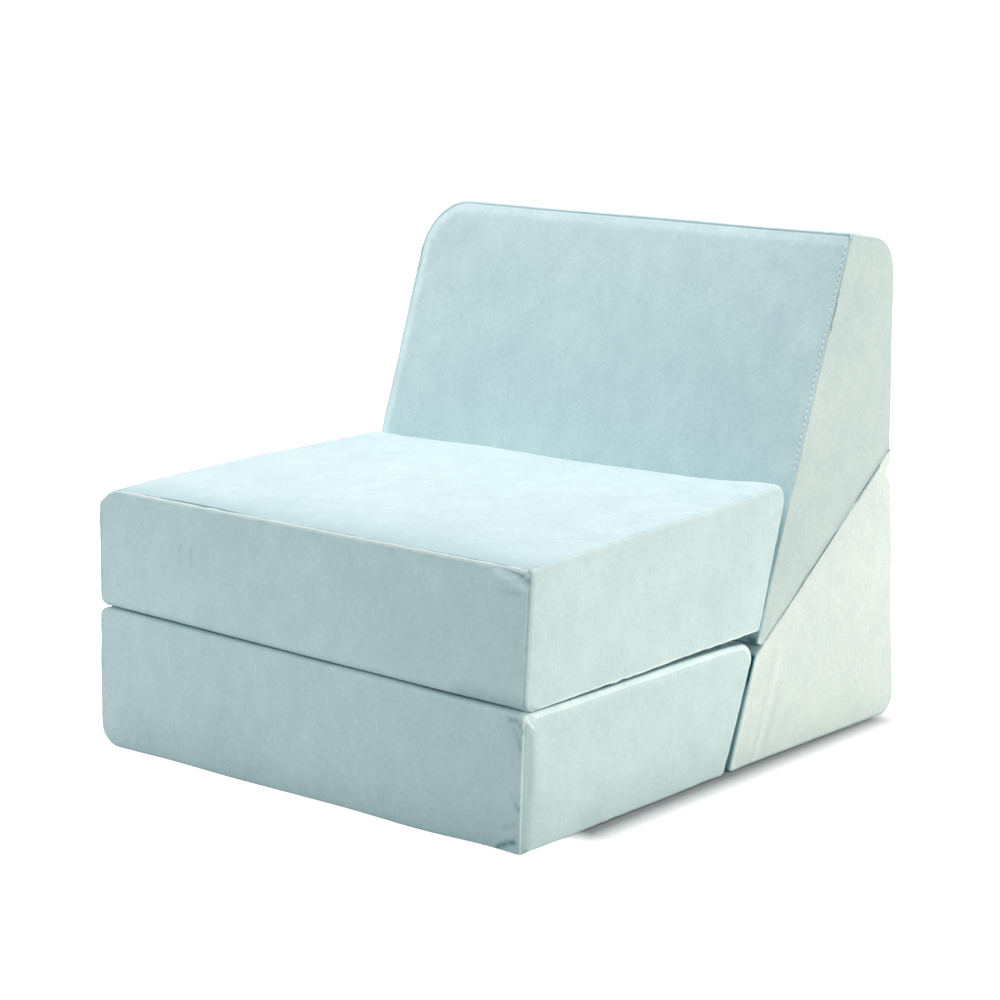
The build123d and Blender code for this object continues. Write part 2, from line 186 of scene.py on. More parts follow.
velvet = dict(
    patches=dict(scale=7.0, detail=3, rough=0.6),     # soft patches of about 140 mm
    marks=dict(scale=38.0, detail=4, rough=0.65, stretch=(1, 0.8, 0.7), turn=(0.5, 0.3, 0.4)),  # pile pushed aside
    tufts=dict(scale=230.0, detail=3, rough=0.7),     # tufts lying together, about 4 mm
    pile=dict(scale=900.0, detail=2, rough=0.6),      # tufts of about 1 mm
    ranges=dict(patches=(0.35, 0.65, 0.1, 0.4), marks=(0.35, 0.65, -0.05, 0.3), tufts=(0.3, 0.7, -0.27, 0.27),
                pile=(0.3, 0.7, -0.18, 0.18)),        # what each noise adds to the share of the paler colour
    bumps=dict(marks=(0.8 * mm, 0.3), tufts=(0.5 * mm, 0.3), pile=(0.35 * mm, 0.5)),   # distance and strength
    swing=(1.15, 0.95, 0.75),                         # how far red, green and blue follow the contrast
    deep=(0.46, 0.56, 0.58),                          # share of the colour left where the painted shade is deepest
    rough=0.95, specular=0.15, sheen=0.45, sheenRough=0.35, sheenTint=(1.0, 1.0, 1.0, 1),
)


def velvetMaterial(name, colour, contrast=0.10):
    # the colour times 1 +- contrast * swing by the sum of four noises, then mixed towards the deep colour by
    # the tone attribute, which is painted shade, or painted light where a tone below zero is paler
    material, tree, shader = newMaterial(name)
    place = tree.nodes.new("ShaderNodeTexCoord").outputs["Object"]
    noises = {kind: addNoise(tree, place, **velvet[kind]) for kind in velvet["ranges"]}
    share = 0.0
    for kind, span in velvet["ranges"].items():
        share = addMath(tree, "ADD", addRange(tree, noises[kind], *span), share)
    low, high = [[c * (1 + sign * contrast * k) for c, k in zip(colour, velvet["swing"])] for sign in (-1, 1)]
    tone = tree.nodes.new("ShaderNodeAttribute")
    tone.attribute_name = "tone"
    mix = tree.nodes.new("ShaderNodeMix")
    mix.data_type = "RGBA"
    mix.clamp_factor = False
    mix.inputs[7].default_value = (*[c * k for c, k in zip(colour, velvet["deep"])], 1)
    tree.links.new(addTint(tree, low, high, share), mix.inputs[6])
    tree.links.new(tone.outputs["Fac"], mix.inputs[0])
    tree.links.new(mix.outputs[2], shader.inputs["Base Color"])
    shader.inputs["Roughness"].default_value = velvet["rough"]
    shader.inputs["Specular IOR Level"].default_value = velvet["specular"]
    shader.inputs["Sheen Weight"].default_value = velvet["sheen"]
    shader.inputs["Sheen Roughness"].default_value = velvet["sheenRough"]
    shader.inputs["Sheen Tint"].default_value = velvet["sheenTint"]
    normal = None
    for kind, (distance, strength) in velvet["bumps"].items():
        normal = addBump(tree, noises[kind], distance, strength, normal)
    tree.links.new(normal, shader.inputs["Normal"])
    return material


aquaVelvet = velvetMaterial("aqua_velvet", (0.59, 0.785, 0.805))
# the side panels' velvets are lit and shaded copies of the aqua velvet: painted light, each set paler, warmer or
# darker to the brightness of its panel
sideVelvet = velvetMaterial("side_velvet", (0.62, 0.765, 0.74))
paleVelvet = velvetMaterial("pale_side_velvet", (0.575, 0.675, 0.64))
wedgeVelvet = velvetMaterial("wedge_side_velvet", (0.735, 0.82, 0.765))
# a paler copy of the aqua velvet: a painted highlight along the seat's welt
weltHighlightVelvet = velvetMaterial("welt_velvet", (0.70, 0.86, 0.86), 0.05)


grained = dict(detail=4, rough=0.6, low=0.35, high=0.65, strength=0.4)


def plainMaterial(name, low, high, scale, rough, metal=0.0, bump=0.1 * mm):
    # a two-tone grained finish for the small fittings
    material, tree, shader = newMaterial(name)
    place = tree.nodes.new("ShaderNodeTexCoord").outputs["Object"]
    grain = addNoise(tree, place, scale, grained["detail"], grained["rough"])
    share = addRange(tree, grain, grained["low"], grained["high"], 0, 1)
    tree.links.new(addTint(tree, low, high, share), shader.inputs["Base Color"])
    shader.inputs["Roughness"].default_value = rough
    shader.inputs["Metallic"].default_value = metal
    tree.links.new(addBump(tree, grain, bump, grained["strength"]), shader.inputs["Normal"])
    return material


foamMaterial = plainMaterial("cream_foam", (0.72, 0.69, 0.58), (0.86, 0.83, 0.72), 700, 0.9, bump=0.4 * mm)
webMaterial = plainMaterial("hinge_cloth", (0.42, 0.60, 0.62), (0.55, 0.74, 0.76), 900, 0.9)
tapeMaterial = plainMaterial("zip_tape_cloth", (0.50, 0.68, 0.70), (0.62, 0.80, 0.82), 1400, 0.85)
sliderMaterial = plainMaterial("satin_zinc", (0.52, 0.54, 0.55), (0.66, 0.68, 0.69), 600, 0.35, 1.0, 0.02 * mm)
toothMaterial = plainMaterial("zip_teeth_nylon", (0.60, 0.76, 0.78), (0.72, 0.86, 0.88), 900, 0.45, bump=0.05 * mm)
threadMaterial = plainMaterial("sewing_thread", (0.76, 0.90, 0.90), (0.92, 0.98, 0.98), 1500, 0.7, bump=0.05 * mm)
# painted shade for the needle holes between the stitches
holeShadeMaterial = plainMaterial("stitch_shadow", (0.34, 0.48, 0.50), (0.44, 0.60, 0.62), 1500, 0.9, bump=0.05 * mm)
hookMaterial = plainMaterial("hook_nylon", (0.60, 0.63, 0.62), (0.74, 0.77, 0.76), 1600, 0.6, bump=0.5 * mm)
loopMaterial = plainMaterial("loop_nylon", (0.62, 0.66, 0.65), (0.80, 0.84, 0.83), 1200, 0.9, bump=0.6 * mm)


# shapes

form = dict(
    step=4.5 * mm, arcStep=1.3 * mm,            # spacing of the grid, and of its points on round stretches
    least=0.3 * mm, apart=1.6 * mm,             # wanted points keep this far from the ends and from the even ones
    ringStart=0.7 * mm, ringGrowth=1.45,        # spacing of the rings from a seam inwards
    crownFade=0.7,                              # how much of a crown is lost at the ends
    rearwardPace=3,                             # how fast a pair of soft radii goes over to its second
    valleyPower=1.1, valleyHalf=285 * mm, valleyWall=12 * mm, valleyLost=0.9,   # the pinch, shallow between the ends
)


def roundedOutline(corners, radii, step, close=()):
    # walks round a polygon, clockwise with y to the right and z up. Straight runs are a + (b - a) t, and
    # each corner is an arc c + r (cos, sin). Gives points, outward normals, the edge and the share t of it.
    # close holds, for an edge, distances from its start where points are wanted besides the even ones.
    corners = np.array(corners, float)
    run = np.roll(corners, -1, 0) - corners
    unit = run / np.linalg.norm(run, axis=1)[:, None]
    before = np.roll(unit, 1, 0)
    turn = np.arctan2(before[:, 0] * unit[:, 1] - before[:, 1] * unit[:, 0], (before * unit).sum(1))
    back = np.array(radii) * np.tan(np.abs(turn) / 2)
    points, normals, edges, shares = [], [], [], []
    for i in range(len(corners)):
        out = np.array([-before[i, 1], before[i, 0]])
        centre = corners[i] - before[i] * back[i] - out * radii[i]
        angle = np.linspace(0, turn[i], max(2, int(np.ceil(radii[i] * abs(turn[i]) / form["arcStep"]))) + 1)
        spun = np.stack([out[0] * np.cos(angle) - out[1] * np.sin(angle),
                         out[0] * np.sin(angle) + out[1] * np.cos(angle)], 1)
        points.append(centre + radii[i] * spun)
        normals.append(spun)
        edges.append(np.full(len(angle), i))
        shares.append(np.zeros(len(angle)))
        j = (i + 1) % len(corners)
        start, end = corners[i] + unit[i] * back[i], corners[j] - unit[i] * back[j]
        span = np.linalg.norm(end - start)
        count = max(2, int(np.ceil(span / step)))
        t = np.arange(1, count) / count
        if i in close:
            wanted = (np.array(close[i]) - back[i]) / span
            least = form["least"] / span
            wanted = wanted[(wanted > least) & (wanted < 1 - least)]
            apart = np.abs(t[:, None] - wanted[None]).min(1) * span > form["apart"]
            t = np.sort(np.concatenate([t[apart], wanted]))
        points.append(start + (end - start) * t[:, None])
        normals.append(np.tile([-unit[i, 1], unit[i, 0]], (len(t), 1)))
        edges.append(np.full(len(t), i))
        shares.append(t)
    return [np.concatenate(x) for x in (points, normals, edges, shares)]


def spread(length, spacing):
    # ring places from 0 to length that start close together and widen to the spacing
    places, step = [0.0], form["ringStart"]
    while places[-1] < length:
        places.append(places[-1] + step)
        step = min(step * form["ringGrowth"], spacing)
    return np.array(places) * length / places[-1]


def ringLayout(block, spacing):
    # rings from the middle of the left side panel across to the middle of the right one: x of each ring,
    # how much of its outline is left (1 on the wrap), and the ring where each side seam lies
    half = sofa["halfWidth"] + block.get("wider", 0)
    softest = {side: max(np.max(value) for value in block["softness"][side].values()) for side in (-1, 1)}
    panel = 1 - spread(1 - block["panelCore"], form["step"] / block["panelReach"])
    parts = {}
    for side in (-1, 1):
        angle = np.linspace(0, np.pi / 2, block["edgeRings"])
        parts[side] = side * (half - softest[side] + softest[side] * np.sin(angle))
    low, high = parts[-1][0], parts[1][0]
    flat = np.linspace(low, high, int(np.ceil((high - low) / spacing)) + 1)[1:-1]
    ends = [np.full(len(panel) - 1, side * half) for side in (-1, 1)]
    x = np.concatenate([ends[0], parts[-1][::-1], flat, parts[1], ends[1]])
    left = np.concatenate([panel[:0:-1], np.ones(len(x) - 2 * len(panel) + 2), panel[1:]])
    seam = [int(np.argmin(np.abs(x[:len(x) // 2] + half - block["seamInset"]))),
            len(x) // 2 + int(np.argmin(np.abs(x[len(x) // 2:] - half + block["seamInset"])))]
    return x, left, seam, half


def drawnIn(x, half, radius):
    # quarter-circle fall of an end edge: r - sqrt(r^2 - (|x| - half + r)^2)
    past = np.clip(np.abs(x) - half + radius, 0, radius)
    return radius - np.sqrt(radius ** 2 - past ** 2)


def waves(points, seed, length, count=10):
    # a smooth uneven field: the sum of plane waves sin(k p + f) in seeded directions
    seeded = np.random.default_rng(seed)
    direction = seeded.normal(size=(count, 3))
    direction /= np.linalg.norm(direction, axis=1)[:, None]
    k = direction * (2 * np.pi / (length * seeded.uniform(0.7, 1.4, count)))[:, None]
    phase = seeded.uniform(0, 2 * np.pi, count)
    total = np.zeros(points.shape[:-1])
    for i in range(count):
        total += np.sin(points @ k[i] + phase[i])
    return total / np.sqrt(count / 2)


def ripples(place, seed, length, count=8):
    # the same along a line
    seeded = np.random.default_rng(seed)
    k = 2 * np.pi / (length * seeded.uniform(0.6, 1.7, count))
    phase = seeded.uniform(0, 2 * np.pi, count)
    return np.sin(place[..., None] * k + phase).sum(-1) / np.sqrt(count / 2)


def gridNormals(points):
    # cross product of the differences along and across the grid, turned away from the middle
    around = np.roll(points, -1, 0) - np.roll(points, 1, 0)
    across = np.gradient(points, axis=1)
    normal = np.cross(around, across)
    normal /= np.linalg.norm(normal, axis=2)[..., None] + 1e-12
    away = (normal * (points - points.mean((0, 1)))).sum(2)
    return normal if away.sum() > 0 else -normal


def cornerShift(points, shifts, low, high):
    # moves the corners of the block's box by the given amounts, with a straight mix in between
    share = np.clip((points - low) / (high - low), 0, 1)
    moved = np.zeros_like(points)
    for (ix, iy, iz), shift in shifts.items():
        weight = 1
        for axis, which in enumerate((ix, iy, iz)):
            weight = weight * (share[..., axis] if which else 1 - share[..., axis])
        moved += weight[..., None] * np.array(shift) * mm
    return points + moved


def crownedProfile(block, flat, normals, edges, shares, x, half):
    # the outline carried across the block, each face crowned by depth (1 - (2t - 1)^2), less towards the ends
    crown = np.array(block["crowns"])[edges] * np.where(shares > 0, 1 - (2 * shares - 1) ** 2, 0)
    fade = 1 - form["crownFade"] * (x / half) ** 2
    y = flat[:, :1] + normals[:, :1] * crown[:, None] * fade[None]
    z = flat[:, 1:] + normals[:, 1:] * crown[:, None] * fade[None]
    return y, z


def drawnEnds(block, flat, x, half, y, z):
    # soft ends: the outline shrinks towards its middle, by its own amount on each of its four sides, where a
    # pair of radii goes over from the first at the front to the second at the rear
    middle = np.array(block["middle"])
    reach = dict(front=middle[0] - flat[:, 0].min(), rear=flat[:, 0].max() - middle[0],
                 bottom=middle[1] - flat[:, 1].min(), top=flat[:, 1].max() - middle[1])
    share = {}
    rearward = 1 - np.exp(-form["rearwardPace"] * (flat[:, 0] - flat[:, 0].min()) / np.ptp(flat[:, 0]))[:, None]
    for name in reach:
        first, last = [np.broadcast_to(block["softness"][side][name], 2) for side in (-1, 1)]
        atLeft, atRight = [pair[0] + (pair[1] - pair[0]) * rearward for pair in (first, last)]
        share[name] = 1 - drawnIn(x, half, np.where(x < 0, atLeft, atRight)) / reach[name]
    y = middle[0] + (y - middle[0]) * np.where(y < middle[0], share["front"], share["rear"])
    drawn = middle[1] + (z - middle[1]) * np.where(z < middle[1], share["bottom"], share["top"])
    # what moves up or down stays on the leaning front and rear faces
    c = np.array(block["corners"], float)
    lean = [(c[1, 0] - c[0, 0]) / (c[1, 1] - c[0, 1]), (c[2, 0] - c[3, 0]) / (c[2, 1] - c[3, 1])]
    frontLine, rearLine = [c[k, 0] + lean[i] * (flat[:, 1] - c[k, 1]) for i, k in enumerate((0, 3))]
    t = np.clip((flat[:, 0] - frontLine) / (rearLine - frontLine), 0, 1)[:, None]
    return y + (lean[0] * (1 - t) + lean[1] * t) * (drawn - z), drawn


def closedPanels(block, left, y, z):
    # side panels: each ring shrinks towards a line inside the profile, to the share that is left of it
    a, b = np.array(block["spine"])
    onSpine = np.clip(((y - a[0]) * (b - a)[0] + (z - a[1]) * (b - a)[1]) / ((b - a) @ (b - a)), 0, 1)
    y = (a[0] + (b - a)[0] * onSpine) * (1 - left) + y * left
    z = (a[1] + (b - a)[1] * onSpine) * (1 - left) + z * left
    return y, z


def pinchDepth(block, flat, edges, x, left):
    # a V-shaped valley across the rear face: depth (1 - |z - level| / half)^1.1
    level, depth, reach = block["pinch"]
    valley = np.clip(1 - np.abs(flat[:, 1] - level) / reach, 0, 1) ** form["valleyPower"]
    shallow = 1 - form["valleyLost"] * np.clip((form["valleyHalf"] - np.abs(x)) / form["valleyWall"], 0, 1)
    return depth * (valley * (edges == block["pinchEdge"]))[:, None] * (shallow * left ** 4)[None]


def blockSurface(block, step=form["step"]):
    # the whole closed cover of one block as a grid: around its side profile and across its rings
    close = {edge: place + np.array(nearby) * mm for edge, place, nearby in block.get("fine", ())}
    flat, normals, edges, shares = roundedOutline(block["corners"], block["radii"], step, close)
    x, left, seam, half = ringLayout(block, step)
    y, z = crownedProfile(block, flat, normals, edges, shares, x, half)
    y, z = drawnEnds(block, flat, x, half, y, z)
    y, z = closedPanels(block, left, y, z)
    if "pinch" in block:
        y = y - pinchDepth(block, flat, edges, x, left)
    inward = np.clip((1 - left) / (1 - block["panelCore"]), 0, 1)
    swell = block["panelCrown"] * inward * (2 - inward)   # the panels swell a little
    points = np.stack([np.broadcast_to(x + np.sign(x) * swell, y.shape), y, z], 2)
    points = cornerShift(points, block["shifts"], points.min((0, 1)), points.max((0, 1)))
    profile = points[:, len(x) // 2]
    around = np.concatenate([[0], np.cumsum(np.linalg.norm(np.diff(profile, axis=0, append=profile[:1]), axis=1))])
    along = np.linalg.norm(flat - np.array(block["corners"])[edges], axis=1)   # from the face's first corner
    return dict(points=points, seam=seam, around=around, edges=edges, shares=shares, x=x, left=left, along=along,
                half=half)


def fromSeam(points, ring):
    # distance from a ring, measured across the grid
    pace = np.linalg.norm(np.diff(points, axis=1), axis=2)
    total = np.concatenate([np.zeros((len(points), 1)), np.cumsum(pace, 1)], 1)
    return total - total[:, ring:ring + 1]


def sunk(distance, half, wall):
    # 1 inside the half width, 0 beyond it, with a straight wall between
    return np.clip((half + wall - np.abs(distance)) / wall, 0, 1)


def zipFrame(block):
    # the zip's line on its face: a point, the direction along the profile and the outward direction
    edge, place = block["zip"]
    corners = np.array(block["corners"], float)
    start, end = corners[edge], corners[(edge + 1) % len(corners)]
    along = (end - start) / np.linalg.norm(end - start)
    out = np.array([-along[1], along[0]])
    return start + along * place, along, out


def nudged(points, nudges):
    # local moves: shift exp(-(distance / reach)^2)
    for centre, reach, shift in nudges:
        away = ((points - np.array(centre)) ** 2).sum(-1) / reach ** 2
        points = points + np.exp(-away)[..., None] * np.array(shift) * mm
    return points


def lineDistance(u, v, path):
    # shortest distance from points (u, v) to a path of straight runs, and 1 on its left, -1 on its right
    best, side = np.full(u.shape, 9.0), np.ones(u.shape)
    for (a, b), (c, d) in zip(path[:-1], path[1:]):
        run = np.array([c - a, d - b])
        t = np.clip(((u - a) * run[0] + (v - b) * run[1]) / (run @ run), 0, 1)
        away = np.hypot(u - a - run[0] * t, v - b - run[1] * t)
        side = np.where(away < best, np.sign(run[0] * (v - b) - run[1] * (u - a)), side)
        best = np.minimum(best, away)
    return best, side


cloth = dict(
    step=16 * mm, edgeRings=6, smaller=2 * mm, uneven=0.3 * mm, unevenLength=90 * mm,
    quality=4, mass=0.15, stretch=18, shear=6, bending=0.4, pressure=4.0, slack=-0.03, frames=20,
    even=12, fineEven=4,                        # rounds of averaging that part the swell from the wrinkles
    fullShare=98, foldCap=3,                    # the percentile that counts as fully swollen, and the cap
    panelStart=0.5, panelReach=0.35,            # where the panels' middles go over to an even swell
)


def simulateCloth(name, block):
    # Blender's cloth on a coarse, slightly smaller copy of the cover: pinned along its edges and seams,
    # cut a little too large, and blown up by an inner pressure. Gives how far each grid point moved outward.
    surface = blockSurface(dict(block, fine=(), edgeRings=cloth["edgeRings"]), cloth["step"])
    normal = gridNormals(surface["points"])
    start = surface["points"] - normal * cloth["smaller"]
    start = start + normal * (waves(start, 5, cloth["unevenLength"]) * cloth["uneven"])[..., None]
    mesh = gridMesh(name + "_trial", start, closedEnds=(True, True))
    trial = bpy.data.objects.new(name + "_trial", mesh)
    bpy.context.scene.collection.objects.link(trial)
    pinned = (surface["shares"] == 0)[:, None] & (surface["left"] == 1)
    for ring in surface["seam"]:
        pinned[:, ring] = True
    group = trial.vertex_groups.new(name="pin")
    group.add([int(i) for i in np.where(pinned.ravel())[0]], 1.0, "REPLACE")
    modifier = trial.modifiers.new("cloth", "CLOTH")
    settings = modifier.settings
    settings.quality = cloth["quality"]
    settings.mass = cloth["mass"]
    settings.tension_stiffness = settings.compression_stiffness = cloth["stretch"]
    settings.shear_stiffness = cloth["shear"]
    settings.bending_stiffness = cloth["bending"]
    settings.use_pressure = True
    settings.uniform_pressure_force = cloth["pressure"]
    settings.effector_weights.gravity = 0
    settings.vertex_group_mass = "pin"
    settings.shrink_min = cloth["slack"]
    scene = bpy.context.scene
    modifier.point_cache.frame_start, modifier.point_cache.frame_end = 1, cloth["frames"]
    for number in range(1, cloth["frames"] + 1):
        scene.frame_set(number)
    co = np.zeros(start.size)
    trial.evaluated_get(bpy.context.evaluated_depsgraph_get()).data.vertices.foreach_get("co", co)
    scene.frame_set(1)
    bpy.data.objects.remove(trial)
    bpy.data.meshes.remove(mesh)
    moved = ((co.reshape(start.shape) - start) * normal).sum(2)
    return surface, np.nan_to_num(moved)


def acrossPlace(surface, block):
    # a place along the rings that keeps growing over the panels: x +- (1 - left) reach
    return surface["x"] + np.sign(surface["x"]) * (1 - surface["left"]) * block["panelReach"]


def blurred(field, times):
    # repeated 1-2-1 average along and across the grid
    for _ in range(times):
        field = (np.roll(field, 1, 0) + 2 * field + np.roll(field, -1, 0)) / 4
        inner = (field[:, :-2] + 2 * field[:, 1:-1] + field[:, 2:]) / 4
        field = np.concatenate([field[:, :1], inner, field[:, -1:]], 1)
    return field


def clothDepth(name, surface, block):
    # the simulated swell, brought to the wanted height on each face, plus its wrinkles, on the fine grid
    coarse, moved = simulateCloth(name, block)
    soft = blurred(moved, cloth["even"])
    folds = (moved - soft) / ((moved - soft).std() + 1e-9)
    swell = soft / (np.percentile(soft, cloth["fullShare"]) + 1e-9)
    fineAround, coarseAround = [grid["around"][:-1] / grid["around"][-1] for grid in (surface, coarse)]
    total = []
    inward = np.clip((cloth["panelStart"] - surface["left"]) / cloth["panelReach"], 0, 1)
    for field in (np.clip(swell, 0, 1), np.clip(folds, -cloth["foldCap"], cloth["foldCap"])):
        rows = np.stack([np.interp(fineAround, coarseAround, column, period=1.0) for column in field.T], 1)
        fine = np.stack([np.interp(acrossPlace(surface, block), acrossPlace(coarse, block), row) for row in rows])
        level = np.where(surface["x"] < 0, fine[:, 0].mean(), fine[:, -1].mean())
        total.append(blurred(fine * (1 - inward) + level * inward, cloth["fineEven"]))
    height = np.array(block["puff"])[surface["edges"]][:, None] * (surface["left"] == 1)
    height = height + block["sidePuff"] * (surface["left"] < 1)
    print("cloth", name, moved.shape, "moved", (moved.min() / mm).round(1), (moved.max() / mm).round(1))
    return (total[0] * height + total[1] * block["wrinkle"] * np.minimum(height, 1)) * mm


# what is sewn or pressed into the covers: each feature adds to the depth, outward, and to the tone, darker, which is
# painted shade, or painted light below zero

hingeCloth = dict(
    halfLength=270 * mm, thickness=1.0 * mm, proud=0.25 * mm, uneven=0.08 * mm, unevenLength=30 * mm,
    reach=45 * mm, lap=40 * mm,                                    # from the hinge line, and onto the backrest
    room=4 * mm, roomWall=3 * mm, roomStart=3 * mm, roomRise=2 * mm,   # the shallow bed in the wedge's cover
)

# in the same real sizes as the CAD zips
zipper = dict(
    mouth=9.2 * mm, mouthLength=453.2 * mm, bed=5.4 * mm, sideWall=0.7 * mm, endWall=3 * mm, tapeLevel=3 * mm,
    tapeWidth=13 * mm, tapeThickness=0.8 * mm, tapeUneven=0.06 * mm, slit=1 * mm, tapeLength=470 * mm,
    unevenLength=12 * mm, tapeGrid=(9, 95),     # points across and along a tape
    chainLength=446 * mm, toothPitch=2.6 * mm, toothSize=(1.5 * mm, 2.1 * mm, 1.3 * mm), toothSide=1.1 * mm,
)


def bell(distance, width):
    # exp(-(d / w)^2)
    return np.exp(-(distance / width) ** 2)


sideSeam = dict(
    shoulderAt=2.4, shoulderWidth=1.3,          # in widths of the seam
    pullPitch=28 * mm, pullPatch=150 * mm, pullReach=9 * mm, pullStart=2 * mm, pullSteady=0.6, pullVaried=0.4,
    dashPitch=50 * mm, lineWidth=1.1 * mm,
)


def addSeams(cover, block):
    # a valley with low shoulders at each side seam, ripples that fade away from it, and a dashed dark line
    around, width, seed = cover["around"][:-1], block["seamWidth"], cover["seed"]
    share = np.array(block["seamShare"])[cover["edges"]][:, None]
    for index, ring in enumerate(cover["seam"]):
        d = fromSeam(cover["points"], ring)
        shoulder = bell(np.abs(d) - sideSeam["shoulderAt"] * width, sideSeam["shoulderWidth"] * width)
        cover["depth"] += (block["seamShoulder"] * shoulder - block["seamDepth"] * bell(d, width)) * share
        patches = ripples(around, seed + 9 + index, sideSeam["pullPatch"])
        pull = sideSeam["pullSteady"] + sideSeam["pullVaried"] * patches
        pull = block["pucker"] * pull * ripples(around, seed + 3 + index, sideSeam["pullPitch"])
        fading = np.exp(-np.abs(d) / sideSeam["pullReach"]) * (1 - bell(d, sideSeam["pullStart"]))
        cover["depth"] += pull[:, None] * fading
        dashed = 0.5 + 0.5 * np.clip(ripples(around, seed + 15 + index, sideSeam["dashPitch"]), -1, 1)
        cover["tone"] += block["seamTone"] * dashed[:, None] * bell(d, sideSeam["lineWidth"]) * share


frontRidge = dict(at=2 * mm, width=1.5 * mm, paler=0.9, zoneAt=7 * mm, zoneReach=13 * mm, darker=0.5)


def addRidge(cover, block):
    # the front seam allowance stands up as a ridge with a painted highlight, with painted shade in a zone beside it
    d = fromSeam(cover["points"], cover["seam"][1])
    onRows = (cover["edges"] == 0)[:, None]
    ridge = bell(d - frontRidge["at"], frontRidge["width"]) * onRows
    zone = bell(d - frontRidge["zoneAt"], frontRidge["zoneReach"]) * (d > 0) * onRows
    cover["depth"] += block["ridge"] * ridge
    cover["tone"] += frontRidge["darker"] * zone - frontRidge["paler"] * ridge


frontShade = dict(start=-50 * mm, reach=350 * mm)
facing = 0.5   # a face counts as the front or the side where its normal has more than this share of it


def addShade(cover, block):
    # painted shade: the front face darkens to the right in a straight run
    past = np.clip((cover["points"][..., 0] - frontShade["start"]) / frontShade["reach"], 0, 1)
    onFace = (cover["edges"] == 0)[:, None] * (cover["normal"][..., 1] < -facing)
    cover["tone"] += block["shade"] * past * onFace


topRoll = dict(fromSeam=1 * mm, reach=25 * mm, toneReach=34 * mm, tonePower=1.3, crease=0.75)


def addRoll(cover, block):
    # the top falls towards the welt by e^(-d / reach), with painted shade on the fall and in the crease above the
    # welt
    kept = cover["onWrap"] & (cover["inside"] > block["seamInset"] + topRoll["fromSeam"])
    kept = kept & (cover["edges"] == 1)[:, None]
    d = np.where(kept, cover["along"][:, None], np.inf)
    cover["depth"] -= block["roll"] * np.exp(-d / topRoll["reach"])
    cover["tone"] += block["rollTone"] * np.exp(-(d / topRoll["toneReach"]) ** topRoll["tonePower"])
    cover["tone"] += topRoll["crease"] * (kept & (cover["shares"] == 0)[:, None])


def addUnderTone(cover, block):
    # painted shade where an edge turns down, by the downward share of the normal
    downward = np.clip(-cover["normal"][:, len(cover["x"]) // 2, 2], 0, 1)
    for corner, value in block["underTone"].items():
        onArc = (cover["edges"] == corner) & (cover["shares"] == 0)
        cover["tone"] += value * (downward * onArc)[:, None] * cover["onWrap"]


jointBand = dict(start=2 * mm, rise=3 * mm, end=19 * mm, fall=6 * mm, wall=4 * mm, paler=0.5, palerReach=4 * mm)


def addJoints(cover, block):
    # painted shade in bands near the right end of the faces where two blocks lie on each other, with a painted
    # highlight at the outer rim
    inside = cover["inside"]
    band = np.clip((inside - jointBand["start"]) / jointBand["rise"], 0, 1)
    band = band * np.clip((jointBand["end"] - inside) / jointBand["fall"], 0, 1)
    paler = jointBand["paler"] * np.clip(1 - inside / jointBand["palerReach"], 0, 1)
    for edge, low, high, value in block["joints"]:
        onFace = sunk(cover["along"] - (low + high) / 2 * mm, (high - low) / 2 * mm, jointBand["wall"])
        onFace = (onFace * (cover["edges"] == edge))[:, None] * cover["onWrap"] * (cover["x"] > 0)
        cover["tone"] += (value * band - paler) * onFace


def addRims(cover, block):
    # painted highlights or painted shade in bands on the panels beside an edge
    for index, ring in enumerate(cover["seam"]):
        d = fromSeam(cover["points"], ring) * (1 if index else -1)
        for edge, centre, reach, value in block["rims"]:
            cover["tone"] -= value * (cover["edges"] == edge)[:, None] * (d > 0) * bell(d - centre * mm, reach * mm)


borderSeam = dict(
    depth=0.9 * mm, width=1.3 * mm, lineWidth=1.0 * mm, end=296.5 * mm,
    faint=0.3, clear=0.3, clearFrom=-250 * mm, clearOver=20 * mm,     # fainter round the left end
    outerRim=(0.45, 3 * mm, 2 * mm), innerRim=(0.4, 6 * mm, 5 * mm),  # how pale the painted highlight is, where and how wide
)


def addSeamPath(cover, block):
    # a sewn line along the border of the front panel, with painted shade along it and a painted highlight as a paler
    # rim on each side
    x, z = cover["points"][..., 0], cover["points"][..., 2]
    onRows = (cover["edges"] == 0) | ((cover["edges"] == 1) & (cover["shares"] == 0))
    onFront = onRows[:, None] & cover["onWrap"] & (cover["x"] < borderSeam["end"])
    d, side = lineDistance(x, z, block["seamPath"])
    cover["depth"] -= borderSeam["depth"] * bell(d, borderSeam["width"]) * onFront
    clear = np.clip((x - borderSeam["clearFrom"]) / borderSeam["clearOver"], 0, 1)
    tone = (borderSeam["faint"] + borderSeam["clear"] * clear) * bell(d, borderSeam["lineWidth"])
    for which, (paler, at, reach) in ((1, borderSeam["outerRim"]), (-1, borderSeam["innerRim"])):
        tone -= paler * (side == which) * bell(d - at, reach)
    cover["tone"] += tone * onFront


def rowsBetween(surface, edge, low, high):
    # the grid rows of one straight face whose middle points lie between two heights
    height = surface["points"][:, len(surface["x"]) // 2, 2]
    return np.where((surface["edges"] == edge) & (surface["shares"] > 0) & (height > low) & (height < high))[0]


stitchGroove = dict(depth=0.5 * mm, width=1.2 * mm, tone=0.3, toneWidth=1.5 * mm)


def addStitchLine(cover, block):
    # a shallow groove beside the right edge, with painted shade along it
    edge, low, high, inset = block["stitchLine"]
    onRows = np.isin(np.arange(len(cover["edges"])), rowsBetween(cover, edge, low, high))[:, None]
    d = cover["half"] - cover["x"][None, :] - inset
    cover["depth"] -= stitchGroove["depth"] * bell(d, stitchGroove["width"]) * onRows * cover["onWrap"]
    cover["tone"] += stitchGroove["tone"] * bell(d, stitchGroove["toneWidth"]) * onRows * cover["onWrap"]


